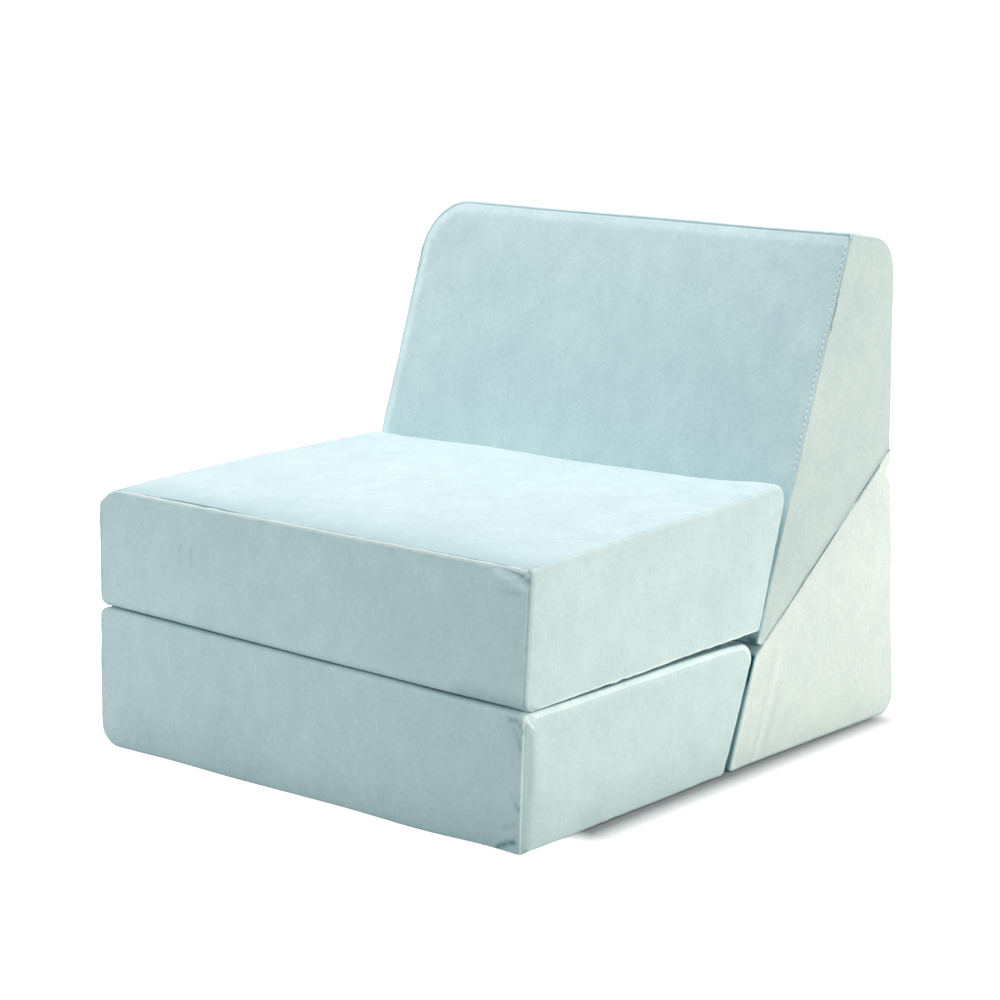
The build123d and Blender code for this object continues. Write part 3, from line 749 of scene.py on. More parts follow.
def addFolds(cover, block):
    # small folds drawn by the corners' tension, along paths on the front or the right side, with painted shade on
    # them, or painted light where their tone is below zero
    x, y, z = np.moveaxis(cover["points"], 2, 0)
    faces = dict(front=(x, cover["normal"][..., 1] < -facing), side=(y, cover["normal"][..., 0] > facing))
    for face, path, width, low, dark in block["folds"]:
        u, onFace = faces[face]
        d, _ = lineDistance(u, z, [(a * mm, b * mm) for a, b in path])
        shape = bell(d, width * mm) * onFace
        cover["depth"] -= low * mm * shape
        cover["tone"] += dark * shape


def addLap(cover, block):
    # room for the backrest's hinge cloth, above the hinge line
    x, z = cover["points"][..., 0], cover["points"][..., 2]
    above = np.clip((z - sofa["pinch"] + hingeCloth["roomStart"]) / hingeCloth["roomRise"], 0, 1)
    within = np.clip((hingeCloth["halfLength"] + hingeCloth["room"] - np.abs(x)) / hingeCloth["roomWall"], 0, 1)
    onFace = (cover["edges"] == block["pinchEdge"])[:, None] * cover["onWrap"]
    cover["depth"] -= block["lap"] * above * within * onFace


def addZipBed(cover, block):
    # a straight-walled channel for the zip's chain and slider
    point, along, _ = zipFrame(block)
    x, y, z = np.moveaxis(cover["points"], 2, 0)
    v = (y - point[0]) * along[0] + (z - point[1]) * along[1]
    channel = sunk(v, zipper["mouth"] / 2, zipper["sideWall"]) * sunk(x, zipper["mouthLength"] / 2, zipper["endWall"])
    cover["depth"] -= zipper["bed"] * channel * (cover["edges"] == block["zip"][0])[:, None]


features = dict(seamWidth=addSeams, ridge=addRidge, shade=addShade, roll=addRoll, underTone=addUnderTone,
                joints=addJoints, rims=addRims, seamPath=addSeamPath, stitchLine=addStitchLine, folds=addFolds,
                lap=addLap, zip=addZipBed)
toneLimits = (-0.7, 1.85)              # the most painted light and the most painted shade
unevenLength, evenRounds = 160 * mm, 8   # of the faces' unevenness, and how softly it ends at a resting face


def sewCover(name, surface, block, seed):
    # uneven, swollen faces, then every feature that the block names, each along the normals of the plain cover
    points = surface["points"] = nudged(surface["points"], block.get("nudges", ()))
    touching = np.isin(surface["edges"], block.get("resting", ())).astype(float)
    for _ in range(evenRounds):
        touching = (np.roll(touching, 1) + 2 * touching + np.roll(touching, -1)) / 4
    depth = waves(points, seed, unevenLength) * block["uneven"] * (1 - touching[:, None])
    cover = dict(surface, seed=seed, normal=gridNormals(points), tone=np.zeros(points.shape[:2]),
                 depth=depth + clothDepth(name, surface, block), onWrap=(surface["left"] == 1)[None, :],
                 inside=(surface["half"] - np.abs(surface["x"]))[None, :])
    for key, addFeature in features.items():
        if key in block:
            addFeature(cover, block)
    surface["points"] = points + cover["normal"] * cover["depth"][..., None]
    surface["tone"] = np.clip(cover["tone"], *toneLimits)
    return surface


# meshes


def gridMesh(name, outer, inner=None, closedEnds=(False, False)):
    # quads over a grid that is closed around; an inner layer and rims make it a shell with thickness
    around, across = outer.shape[:2]
    i, j = np.meshgrid(np.arange(around), np.arange(across - 1), indexing="ij")
    nextI = (i + 1) % around
    quads = np.stack([i * across + j, nextI * across + j, nextI * across + j + 1, i * across + j + 1], -1)
    verts = [outer.reshape(-1, 3)]
    faces = [quads.reshape(-1, 4)]
    rims = []
    if inner is not None:
        offset = around * across
        depth = inner.shape[1]
        i, j = np.meshgrid(np.arange(around), np.arange(depth - 1), indexing="ij")
        nextI = (i + 1) % around
        quads = offset + np.stack([i * depth + j, i * depth + j + 1, nextI * depth + j + 1, nextI * depth + j], -1)
        verts.append(inner.reshape(-1, 3))
        faces.append(quads.reshape(-1, 4))
        ring = np.arange(around)
        nextRing = (ring + 1) % around
        for end, closed in enumerate(closedEnds):
            o = 0 if end == 0 else across - 1
            p = 0 if end == 0 else depth - 1
            if closed:
                continue   # this end gets a cap
            rim = np.stack([ring * across + o, offset + ring * depth + p,
                            offset + nextRing * depth + p, nextRing * across + o], -1)
            rims.append(rim if end == 0 else rim[:, ::-1])
    polygons = [list(face) for face in np.concatenate(faces + rims).tolist()]
    ring = np.arange(around)
    for end, closed in enumerate(closedEnds):
        if closed:
            cap = ring * across + (0 if end == 0 else across - 1)
            polygons.append((cap[::-1] if end == 0 else cap).tolist())
            if inner is not None:
                cap = around * across + ring * inner.shape[1] + (0 if end == 0 else inner.shape[1] - 1)
                polygons.append((cap if end == 0 else cap[::-1]).tolist())
    mesh = bpy.data.meshes.new(name)
    mesh.from_pydata(np.concatenate(verts).tolist(), [], polygons)
    mesh.validate()
    if any(closedEnds):   # the end polygons are long and thin, so they get triangles straight across
        shape = bmesh.new()
        shape.from_mesh(mesh)
        bmesh.ops.triangulate(shape, faces=[f for f in shape.faces if len(f.verts) > 4], ngon_method="BEAUTY")
        shape.to_mesh(mesh)
        shape.free()
    return outward(mesh)


def outward(mesh):
    # turns the faces round where the enclosed volume comes out negative
    mesh.calc_loop_triangles()
    co = np.zeros(len(mesh.vertices) * 3)
    mesh.vertices.foreach_get("co", co)
    co = co.reshape(-1, 3)
    tris = np.zeros(len(mesh.loop_triangles) * 3, np.int32)
    mesh.loop_triangles.foreach_get("vertices", tris)
    tris = tris.reshape(-1, 3)
    volume = (co[tris[:, 0]] * np.cross(co[tris[:, 1]], co[tris[:, 2]])).sum()
    if volume < 0:
        mesh.flip_normals()
    mesh.polygons.foreach_set("use_smooth", np.ones(len(mesh.polygons), bool))
    mesh.update()
    return mesh


def addPiece(name, mesh, material, body, replaced=()):
    # puts a mesh into the scene as one piece that rides on a body
    piece = bpy.data.objects.new(name, mesh)
    bpy.context.scene.collection.objects.link(piece)
    mesh.materials.clear()
    mesh.materials.append(material)
    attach(piece, body)
    if replaced:
        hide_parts(*replaced)
    return piece


def addTone(mesh, outer, inner):
    # one number a point for the material: how much painted shade lies on it, or painted light below zero
    values = np.concatenate([outer.ravel(), inner.ravel()])
    mesh.attributes.new("tone", "FLOAT", "POINT").data.foreach_set("value", values.astype(np.float32))


def coverPieces(surface, block, name, body, sideMaterial):
    # the grid is cut at its two side seams into a wrap and two side panels, each with cloth thickness
    tone = surface["tone"]
    points = surface["points"]
    normal = gridNormals(points)
    inner = points - normal * block["cloth"]
    a, b = surface["seam"]
    last = points.shape[1] - 1
    thin = np.unique(np.concatenate([np.arange(a, b, 4), [b]]))   # the wrap's inner side needs fewer rings
    wrap = gridMesh(name + "_wrap", points[:, a:b + 1], inner[:, thin])
    addTone(wrap, tone[:, a:b + 1], tone[:, thin])
    addPiece(name + "_wrap", wrap, aquaVelvet, body, [name + "_cover_wrap"])
    for side, low, high in (("left", 0, a), ("right", b, last)):
        closed = (side == "left", side == "right")
        panel = gridMesh(name + "_" + side + "_panel", points[:, low:high + 1], inner[:, low:high + 1], closed)
        addTone(panel, tone[:, low:high + 1], tone[:, low:high + 1])
        addPiece(name + "_" + side + "_panel", panel, sideMaterial, body,
                 [name + "_" + side + "_side_panel"])


def softEnds(left, right):
    # the radii of the left and right ends, in millimetres, by name
    names = ("top", "bottom", "front", "rear")
    return {side: {n: np.array(r) * mm for n, r in zip(names, radii)} for side, radii in ((-1, left), (1, right))}


def mirrored(places):
    # the same places on both sides of the middle
    return [-place for place in places[::-1]] + [0] + list(places)


common = dict(
    edgeRings=24, seamInset=4.5 * mm, seamWidth=1.0 * mm, seamDepth=0.9 * mm, seamShoulder=0.3 * mm,
    pucker=0.4 * mm, uneven=0.45 * mm, panelCrown=2.5 * mm, panelCore=0.06, cloth=1.6 * mm, seamTone=0.3,
    sidePuff=1.5, wrinkle=0.3,
)

# What the blocks' entries say. Faces are numbered 0 front, 1 top, 2 rear, 3 underside, and each edge has the
# number of the face after it. Numbers in brackets without mm are millimetres.
#   corners, radii, crowns: the side profile in metres, from the lower front corner on
#   softness: radii of the left and right ends at the top, bottom, front and rear
#   shifts: moves of the block's box corners; the key says right, rear, upper (1) or left, front, lower (0)
#   puff, seamShare: the cloth's swell and the seams' strength on each face; resting: faces kept flat, because
#     they lie on another block
#   joints: face, from, to and tone of the bands of painted shade; rims: face, centre, reach and tone of the panels'
#       bands of painted highlight or shade
#   folds: side, path, width, depth and tone, the tone being painted shade, or painted light below zero
#   fine: face, place in metres and the rows wanted beside it
zipLines = mirrored((2.5, 4.5, 5.4, 6.5, 9, 14))   # rows wanted beside a zip, in mm
zipPlace = 34 * mm                                 # from the top of a rear face
jointGap = 0.15 * mm                               # from the level joint to the base and to the seat
baseGap, baseHeel = 3.2 * mm, 3 * mm   # left for the hook and loop strips, and more at the foot
baseTop = sofa["seamHeight"] - jointGap
baseRear = np.hypot(baseTop * sofa["slantLean"], baseTop)
baseBlock = dict(common)
baseBlock.update(
    corners=[(frontY(0), 0), (frontY(baseTop), baseTop), (slantY(baseTop) - baseGap, baseTop),
             (slantY(0) - baseGap - baseHeel, 0)],
    radii=np.array([3, 3, 17, 6]) * mm, crowns=np.array([1.2, 0, 0, 0]) * mm, underTone={0: 0.3},
    joints=[(1, 12, 400, 1.5), (2, -5, 30, 1.5)], rims=[(1, 1.5, 8, 0.45), (2, 1.5, 5, 0.35)],
    ridge=0.7 * mm, shade=0.2, seamShare=(0.4, 0.5, 0.3, 0.3),
    middle=(-0.15, 0.07), spine=((-0.25, 0.071), (-0.02, 0.071)), panelReach=0.07,
    softness=softEnds((12, 25, 5, 10), (7, 5, 8, 3)),
    shifts={(0, 0, 0): (-1, -2, 0), (1, 0, 0): (-1, -1, 0), (0, 0, 1): (-4, -2, 9), (1, 0, 1): (1, -2, -3.8),
            (1, 1, 1): (0, -3, -5.5), (1, 1, 0): (1, -3, 0)},
    nudges=[((0.30, 0.06, 0.14), 0.03, (0, 0, -3))],
    folds=[("front", [(281, 134), (293, 133), (298, 123)], 1.1, 0.9, 0.7),
           ("front", [(287, 126), (294, 116), (296, 105)], 2.2, 0.8, 0.45),
           ("front", [(268, 3), (279, 9), (291, 13)], 2.2, 1.2, 1.3),
           ("front", [(288, 58), (295, 46)], 1.8, 0.6, 0.6),
           ("front", [(276, 24), (291, 30)], 2.5, 0.5, 0.35),
           ("side", [(-309, 136), (-302, 125)], 1.2, 0.9, -0.6), ("side", [(-304, 118), (-306, 60)], 4, 0.6, 0.2)],
    puff=(1.0, 0.2, 0.4, 0.2), seamTone=0.1,
    zip=(2, baseRear - zipPlace), fine=[(2, baseRear - zipPlace, zipLines)],
)

seatFoot = sofa["seamHeight"] + jointGap
seatTop = sofa["seatTop"]
seatGap = 2.5 * mm   # to the backrest
seatFront = np.hypot(seatTop - seatFoot, frontY(seatTop) - frontY(seatFoot))
seatRear = (seatTop - seatFoot) * np.hypot(sofa["slantLean"], 1)
seatBlock = dict(common)
seatBlock.update(
    corners=[(frontY(seatFoot), seatFoot), (frontY(seatTop), seatTop), (slantY(seatTop) - seatGap, seatTop),
             (slantY(seatFoot) - seatGap, seatFoot)],
    radii=np.array([10, 4, 14, 3]) * mm, crowns=np.array([1.2, 4, 0, 0]) * mm, underTone={0: 0.5},
    joints=[(3, 6, 400, 1.5), (2, 115, 160, 1.4)], rims=[(3, 2, 1.8, 0.45), (2, 1.5, 1.8, 0.4)],
    shade=0.13, seamShare=(1, 0.35, 0.3, 0.3),
    middle=(-0.12, 0.214), spine=((-0.24, 0.214), (0.02, 0.214)), panelReach=0.07,
    softness=softEnds(((34, 15), 8, 5, 12), (9, 3, 8, 6)),
    puff=(1.0, 2.0, 0.5, 0.2), seamTone=0.2, seamDepth=0.6 * mm,
    shifts={(0, 0, 0): (-4, -2, 9), (1, 0, 0): (2, -2, -3.2), (1, 1, 0): (1, 0, 0.5), (0, 0, 1): (-5, -4, 2),
            (1, 0, 1): (4, 2, -3), (1, 1, 1): (-3, 0, 6), (0, 1, 1): (0, 0, 1)},
    folds=[("front", [(266, 279), (284, 275.5), (297, 270), (300, 265)], 1.4, 1.2, 1.1),
           ("front", [(258, 274), (280, 269), (295, 262)], 4.0, -0.8, -0.6),
           ("front", [(276, 281), (298, 275)], 1.2, -0.4, -0.4), ("front", [(268, 257), (288, 254)], 2.5, 0.5, 0.3),
           # this path has no depth: it is only painted shade near the lower right of the seat's front
           ("front", [(215, 150), (296, 147)], 9.0, 0.0, 0.32),
           ("front", [(-175, 237), (-177, 211)], 2.2, 0.4, 0.25),
           ("front", [(-156, 237), (-159, 213)], 2.2, 0.4, 0.25)],
    nudges=[((0.28, 0.115, 0.29), 0.05, (0, 2, 5))],
    roll=2.0 * mm, rollTone=0.48,
    zip=(2, seatRear - zipPlace),
    fine=[(2, seatRear - zipPlace, zipLines), (0, seatFront, [-5, -6.5, -8.5, -11.5]),
          (1, 0, [4.3, 4.9, 5.5, 6.2, 7, 8, 9, 10, 11.5, 13, 15, 18, 22])],
)

apex = (slantY(sofa["apexHeight"]), sofa["apexHeight"])
wedgeZip, backZip = 30 * mm, 90 * mm   # from the first corner of the slanted face and of the underside
slopeGap = 0.06 * mm   # from the sloping joint to either block
slopeSpan = sofa["slopeEnd"] - sofa["pinch"]
wedgeBlock = dict(common)
wedgeBlock.update(
    corners=[(slantY(0), 0), (apex[0], apex[1] - slopeGap), (sofa["rear"], sofa["slopeEnd"] - slopeGap),
             (sofa["rear"], 0)],
    radii=np.array([4, 4, 1.5, 22]) * mm, crowns=np.zeros(4), seamInset=0.8 * mm,
    middle=(0.20, 0.12), spine=((0.11, 0.068), (0.18, 0.16)), panelReach=0.08,
    softness=softEnds((6, 10, 8, 8), (0.4, 5, 3, 3)), resting=[1], seamShare=(0.3, 0, 0.2, 0.5),
    joints=[(0, 0, 200, 1.0), (0, 96, 135, 1.0)],
    folds=[("side", [(96, 122), (54, -2)], 2.5, 0.5, 0.15), ("side", [(104, 112), (64, 5)], 2.0, -0.5, -0.2),
           ("side", [(114, 104), (78, 10)], 2.5, 0.4, 0.12)],
    shifts={(1, 1, 0): (5, 7, 0), (1, 1, 1): (0, 1, 0), (0, 1, 0): (0, 4, 0), (1, 0, 0): (0, 3, 0),
            (1, 0, 1): (0, 2, 0)},
    puff=(0.4, 0, 0.4, 0.2), lap=1.6 * mm, pucker=0.1 * mm, rims=[(1, 0, 2.5, -0.12)],
    pinch=(sofa["pinch"], 9 * mm, 14 * mm), pinchEdge=2,
    zip=(0, wedgeZip),
    fine=[(0, wedgeZip, zipLines), (2, slopeSpan, mirrored((1, 2, 3.5, 5, 7, 9, 11, 13, 15)))],
)

backLow, backTop = apex[1] + slopeGap, sofa["top"]
backFall = 16 * mm   # of the top towards the rear
frontSpan = np.hypot(slantY(backTop) - slantY(backLow), backTop - backLow)
seamCorner = dict(x=-0.242, z=0.4925, across=0.0565, up=0.0555, left=-0.290, foot=0.13, right=0.3, top=0.5455)
cornerArc = [(seamCorner["x"] - seamCorner["across"] * np.cos(a), seamCorner["z"] + seamCorner["up"] * np.sin(a))
             for a in np.linspace(0, np.pi / 2, 13)]
backBlock = dict(common)
backBlock.update(
    corners=[(slantY(backLow), backLow), (slantY(backTop), backTop), (sofa["rear"], backTop - backFall),
             (sofa["rear"], sofa["slopeEnd"] + slopeGap)],
    radii=np.array([4, 4, 38, 1.2]) * mm, crowns=np.array([4, 0, 0, 0]) * mm, seamInset=0.5 * mm,
    rims=[(3, 0, 6.5, -0.36)], folds=[("front", [(295.5, 547), (296.5, 541)], 0.9, 0.4, 0.9)],
    resting=[3], seamShare=(0.15, 0.5, 0.3, 0), joints=[(0, -4, 14, 1.4)],
    puff=(2.0, 1.0, 0.4, 0), pucker=0.12 * mm, stitchLine=(0, 0.30, 0.54, 6.5 * mm),
    middle=(0.22, 0.36), spine=((0.17, 0.25), (0.262, 0.43)), panelReach=0.06,
    softness=softEnds((56, 8, 5, 9), (5, 0.4, 2.5, 3)),
    shifts={(0, 0, 0): (8, 0, 0), (0, 1, 0): (4, 0, 0), (0, 0, 1): (-3, 0, 3), (1, 0, 1): (-1, -2, -2.5)},
    seamPath=[(seamCorner["left"], seamCorner["foot"])] + cornerArc + [(seamCorner["right"], seamCorner["top"])],
    zip=(3, backZip),
    fine=[(3, backZip, zipLines),
          (0, frontSpan, [-4.2, -4.9, -5.6, -6.3, -7, -8, -9, -10.5, -12, -14, -16, -18, *range(-20, -57, -3)])],
)

blocks = dict(
    base=(baseBlock, "base_unit", sideVelvet, "velvet_side", 11),
    seat=(seatBlock, "seat_unit", sideVelvet, "velvet_side", 23),
    wedge=(wedgeBlock, "base_unit", wedgeVelvet, "velvet_rear_side", 37),
    backrest=(backBlock, "backrest_unit", paleVelvet, "velvet_rear_side", 53),
)
surfaces = {}
for name, (block, body, sideMaterial, sideSlot, seed) in blocks.items():
    surfaces[name] = sewCover(name, blockSurface(block), block, seed)
    coverPieces(surfaces[name], block, name, body, sideMaterial)
    print("cover", name, surfaces[name]["points"].shape)


# foam cores, inside the covers

foam = dict(inset=9 * mm, step=14 * mm, edgeRings=5, least=3 * mm, pinch=(sofa["pinch"], 8 * mm, 28 * mm))


def drawnCorners(corners, inset):
    # each corner moved in by the same distance from both of its edges: c - d (n + m) / (1 + n m)
    corners = np.array(corners, float)
    run = np.roll(corners, -1, 0) - corners
    run /= np.linalg.norm(run, axis=1)[:, None]
    out = np.stack([-run[:, 1], run[:, 0]], 1)
    before = np.roll(out, 1, 0)
    return corners - inset * (out + before) / (1 + (out * before).sum(1))[:, None]


def foamPiece(name, block, body):
    # the block's own surface at a coarse step, on outlines that lie inside the cover
    plain = dict(block, corners=drawnCorners(block["corners"], foam["inset"]), wider=-foam["inset"], fine=(),
                 radii=np.maximum(np.array(block["radii"]) - foam["inset"], foam["least"]),
                 edgeRings=foam["edgeRings"])
    if "pinch" in block:
        plain["pinch"] = foam["pinch"]
    points = nudged(blockSurface(plain, foam["step"])["points"], block.get("nudges", ()))
    addPiece(name + "_foam", gridMesh(name + "_foam", points, closedEnds=(True, True)), foamMaterial, body,
             [name + "_foam_core"])


for name, (block, body, *_) in blocks.items():
    foamPiece(name, block, body)
print("foam cores")


# welt along the seat's front top edge

welt = dict(radius=2.3 * mm, sides=16, proud=-0.3 * mm, ripple=0.12 * mm, ripplePitch=35 * mm, rippleFrom=20 * mm,
            round=4 * mm, blunt=0.02, leftFade=34 * mm, fadePower=0.8, leftShare=0.25, leftSunk=1.2 * mm)


def tubeMesh(name, path, radius, sides, up):
    # a ring of r (cos, sin) carried along the path, closed at both ends
    along = np.gradient(path, axis=0)
    along /= np.linalg.norm(along, axis=1)[:, None]
    side = np.cross(along, up)
    side /= np.linalg.norm(side, axis=1)[:, None]
    top = np.cross(side, along)
    angle = np.arange(sides) * 2 * np.pi / sides
    ring = np.cos(angle)[:, None, None] * side[None] + np.sin(angle)[:, None, None] * top[None]
    return gridMesh(name, path[None] + ring * radius[None, :, None], closedEnds=(True, True))


def seatWelt():
    # a tube along the end of the front face, rounded at its ends and thinning out round the left corner
    surface = surfaces["seat"]
    row = np.where((surface["edges"] == 1) & (surface["shares"] == 0))[0][0]   # where the front face ends
    columns = slice(surface["seam"][0] + 2, surface["seam"][1] - 1)
    normal = gridNormals(surface["points"])[row, columns]
    path = surface["points"][row, columns] + normal * welt["proud"]
    length = np.concatenate([[0], np.cumsum(np.linalg.norm(np.diff(path, axis=0), axis=1))])
    fromEnd = np.minimum(length, length[-1] - length)
    rounded = np.sqrt(np.clip(1 - (1 - np.clip(fromEnd / welt["round"], 0, 1)) ** 2, welt["blunt"], 1))
    fade = np.clip(length / welt["leftFade"], 0, 1) ** welt["fadePower"]
    radius = welt["radius"] * rounded * (welt["leftShare"] + (1 - welt["leftShare"]) * fade)
    path -= normal * ((1 - fade) * welt["leftSunk"])[:, None]
    uneven = ripples(length, 71, welt["ripplePitch"]) * np.clip(fromEnd / welt["rippleFrom"], 0, 1)
    mesh = tubeMesh("seat_welt", path, radius + welt["ripple"] * uneven, welt["sides"], np.array([0, 0, 1.0]))
    addPiece("seat_welt", mesh, weltHighlightVelvet, "seat_unit", ["seat_front_welt"])


seatWelt()
print("welt")


# stitches along the backrest's right front edge, with dark patches between them that are painted shade in the needle
# holes

thread = dict(length=3.9 * mm, width=1.9 * mm, height=1.2 * mm, sunk=0.1 * mm)
hole = dict(length=2.0 * mm, width=1.6 * mm, height=0.5 * mm, sunk=0.0)
stitching = dict(pitch=7 * mm, slant=0.3, sides=6, rings=(-1, -0.6, 0, 0.6, 1), blunt=0.05, arch=0.4 * mm,
                 archLevel=0.7)


def stitchRow(name, block, surface, start, size, material, body):
    # short threads at even spacing along one ring of the cover, each turned a little across it: rings of
    # (width cos, height sin) sqrt(1 - e^2) at places e along each thread
    edge, low, high, inset = block["stitchLine"]
    rows = rowsBetween(surface, edge, low, high)
    column = int(np.argmin(np.abs(surface["half"] - surface["x"] - inset)))
    path, out = surface["points"][rows, column], gridNormals(surface["points"])[rows, column]
    length = np.concatenate([[0], np.cumsum(np.linalg.norm(np.diff(path, axis=0), axis=1))])
    pitch, sides = stitching["pitch"], stitching["sides"]
    place = np.arange(start, length[-1] - pitch / 2, pitch)
    centre, up = [np.stack([np.interp(place, length, field[:, i]) for i in range(3)], 1) for field in (path, out)]
    along = np.gradient(centre, axis=0)
    along = along / np.linalg.norm(along, axis=1)[:, None] + np.cross(up, along) / pitch * stitching["slant"]
    along /= np.linalg.norm(along, axis=1)[:, None]
    across = np.cross(up, along)
    e = np.array(stitching["rings"])[None, :, None, None]
    b = np.sqrt(np.clip(1 - e ** 2, stitching["blunt"], 1))
    angle = (np.arange(sides) * 2 * np.pi / sides)[None, None, :, None]
    height = np.sin(angle) * size["height"] / 2 * b + (b - stitching["archLevel"]) * stitching["arch"] - size["sunk"]
    verts = (centre[:, None, None] + along[:, None, None] * e * size["length"] / 2
             + across[:, None, None] * np.cos(angle) * size["width"] / 2 * b + up[:, None, None] * height)
    rings = len(stitching["rings"])
    i, k = np.meshgrid(np.arange(rings - 1), np.arange(sides), indexing="ij")
    after = (k + 1) % sides
    faces = np.stack([i * sides + k, i * sides + after, (i + 1) * sides + after, (i + 1) * sides + k], -1)
    first = np.arange(len(centre))[:, None] * rings * sides
    quads = (first[:, :, None] + faces.reshape(-1, 4)).reshape(-1, 4).tolist()
    caps = (first + np.arange(sides)[::-1]).tolist() + (first + (rings - 1) * sides + np.arange(sides)).tolist()
    mesh = bpy.data.meshes.new(name)
    mesh.from_pydata(verts.reshape(-1, 3).tolist(), [], quads + caps)
    mesh.validate()
    addPiece(name, outward(mesh), material, body)


for name, start, size, material in (("backrest_edge_stitches", 1.0, thread, threadMaterial),
                                    ("backrest_edge_needle_holes", 1.5, hole, holeShadeMaterial)):
    stitchRow(name, backBlock, surfaces["backrest"], start * stitching["pitch"], size, material, "backrest_unit")
print("stitches")


# hinge cloths, laid on the faces that they are sewn to

def strapPiece(name, surface, rows, body, replaced, ends, atStart):
    # a patch of the cover's own grid, lifted a little, with its borders turned down to the cover, and
    # drawn on from its first or last row by the ends' steps rearwards and upwards, in millimetres
    points, normal = surface["points"], gridNormals(surface["points"])
    columns = np.where((np.abs(surface["x"]) < hingeCloth["halfLength"]) & (surface["left"] == 1))[0]
    patch, out = points[np.ix_(rows, columns)], normal[np.ix_(rows, columns)]
    border = np.ones(patch.shape[:2])
    border[0], border[-1], border[:, 0], border[:, -1] = 0, 0, 0, 0
    lift = (hingeCloth["proud"] + waves(patch, 5, hingeCloth["unevenLength"]) * hingeCloth["uneven"]) * border
    last = 0 if atStart else -1
    end = patch[last] + np.array([[0, y, z] for y, z in ends])[:, None] * mm
    under = end - out[last] * hingeCloth["thickness"]
    upper, lower = patch + out * lift[..., None], patch - out * hingeCloth["thickness"]
    upper = np.concatenate([end, upper] if atStart else [upper, end])
    lower = np.concatenate([under, lower] if atStart else [lower, under])
    addPiece(name, slabMesh(name, upper, lower), webMaterial, body, replaced)


def slabMesh(name, upper, lower):
    # two open grids of the same size, joined round their border
    rows, columns = upper.shape[:2]
    i, j = np.meshgrid(np.arange(rows - 1), np.arange(columns - 1), indexing="ij")
    top = np.stack([i * columns + j, (i + 1) * columns + j, (i + 1) * columns + j + 1, i * columns + j + 1], -1)
    low = top[..., ::-1] + rows * columns
    across, along = np.arange(columns), np.arange(rows) * columns
    loop = np.concatenate([across, along[1:] + columns - 1, along[-1] + across[-2::-1], along[-2:0:-1]])
    after = np.roll(loop, -1)
    rim = np.stack([loop, after, after + rows * columns, loop + rows * columns], -1)
    faces = np.concatenate([top.reshape(-1, 4), low.reshape(-1, 4), rim]).tolist()
    mesh = bpy.data.meshes.new(name)
    mesh.from_pydata(np.concatenate([upper.reshape(-1, 3), lower.reshape(-1, 3)]).tolist(), [], faces)
    mesh.validate()
    return outward(mesh)


def faceRows(name, edge, keep):
    # the grid rows of one straight face whose middle points pass the test
    surface = surfaces[name]
    middle = surface["points"][:, len(surface["x"]) // 2]
    return np.where((surface["edges"] == edge) & (surface["shares"] > 0) & keep(middle))[0]


frontReach = frontY(sofa["seamHeight"]) + hingeCloth["reach"]
rearLow, rearHigh = sofa["pinch"] - hingeCloth["reach"], sofa["slopeEnd"] + hingeCloth["lap"]
strapPiece("front_hinge_base_cloth", surfaces["base"], faceRows("base", 1, lambda p: p[:, 1] < frontReach),
           "base_unit", ["front_hinge_base_leaf"], [(-2, 0)], True)
strapPiece("front_hinge_seat_cloth", surfaces["seat"], faceRows("seat", 3, lambda p: p[:, 1] < frontReach),
           "seat_unit", ["front_hinge_seat_leaf"], [(-3, 0)], False)
strapPiece("rear_hinge_wedge_cloth", surfaces["wedge"],
           faceRows("wedge", 2, lambda p: (p[:, 2] > rearLow) & (p[:, 2] < sofa["pinch"])),
           "base_unit", ["rear_hinge_wedge_leaf"], [(0.5, 1)], True)
strapPiece("rear_hinge_back_cloth", surfaces["backrest"], faceRows("backrest", 2, lambda p: p[:, 2] < rearHigh),
           "backrest_unit", ["rear_hinge_backrest_leaf"], [(0, -5), (0, -11), (0, -18), (0, -25), (0, -32.5)], False)
print("hinge cloths")


# zips: two tapes and the teeth of the chain

def boxRow(centres, size, along, out):
    # equal small blocks with slanted tops, at the given centres
    corner = np.array([[-1, -1, -1], [1, -1, -1], [1, 1, -1], [-1, 1, -1], [-0.7, -0.8, 1], [0.7, -0.8, 1],
                       [0.7, 0.8, 1], [-0.7, 0.8, 1]]) / 2
    shape = (corner * size) @ np.array([[1.0, 0, 0], along, out])
    cube = np.array([[0, 3, 2, 1], [4, 5, 6, 7], [0, 1, 5, 4], [1, 2, 6, 5], [2, 3, 7, 6], [3, 0, 4, 7]])
    faces = np.arange(len(centres))[:, None, None] * len(corner) + cube
    return (centres[:, None] + shape[None]).reshape(-1, 3), faces.reshape(-1, 4)


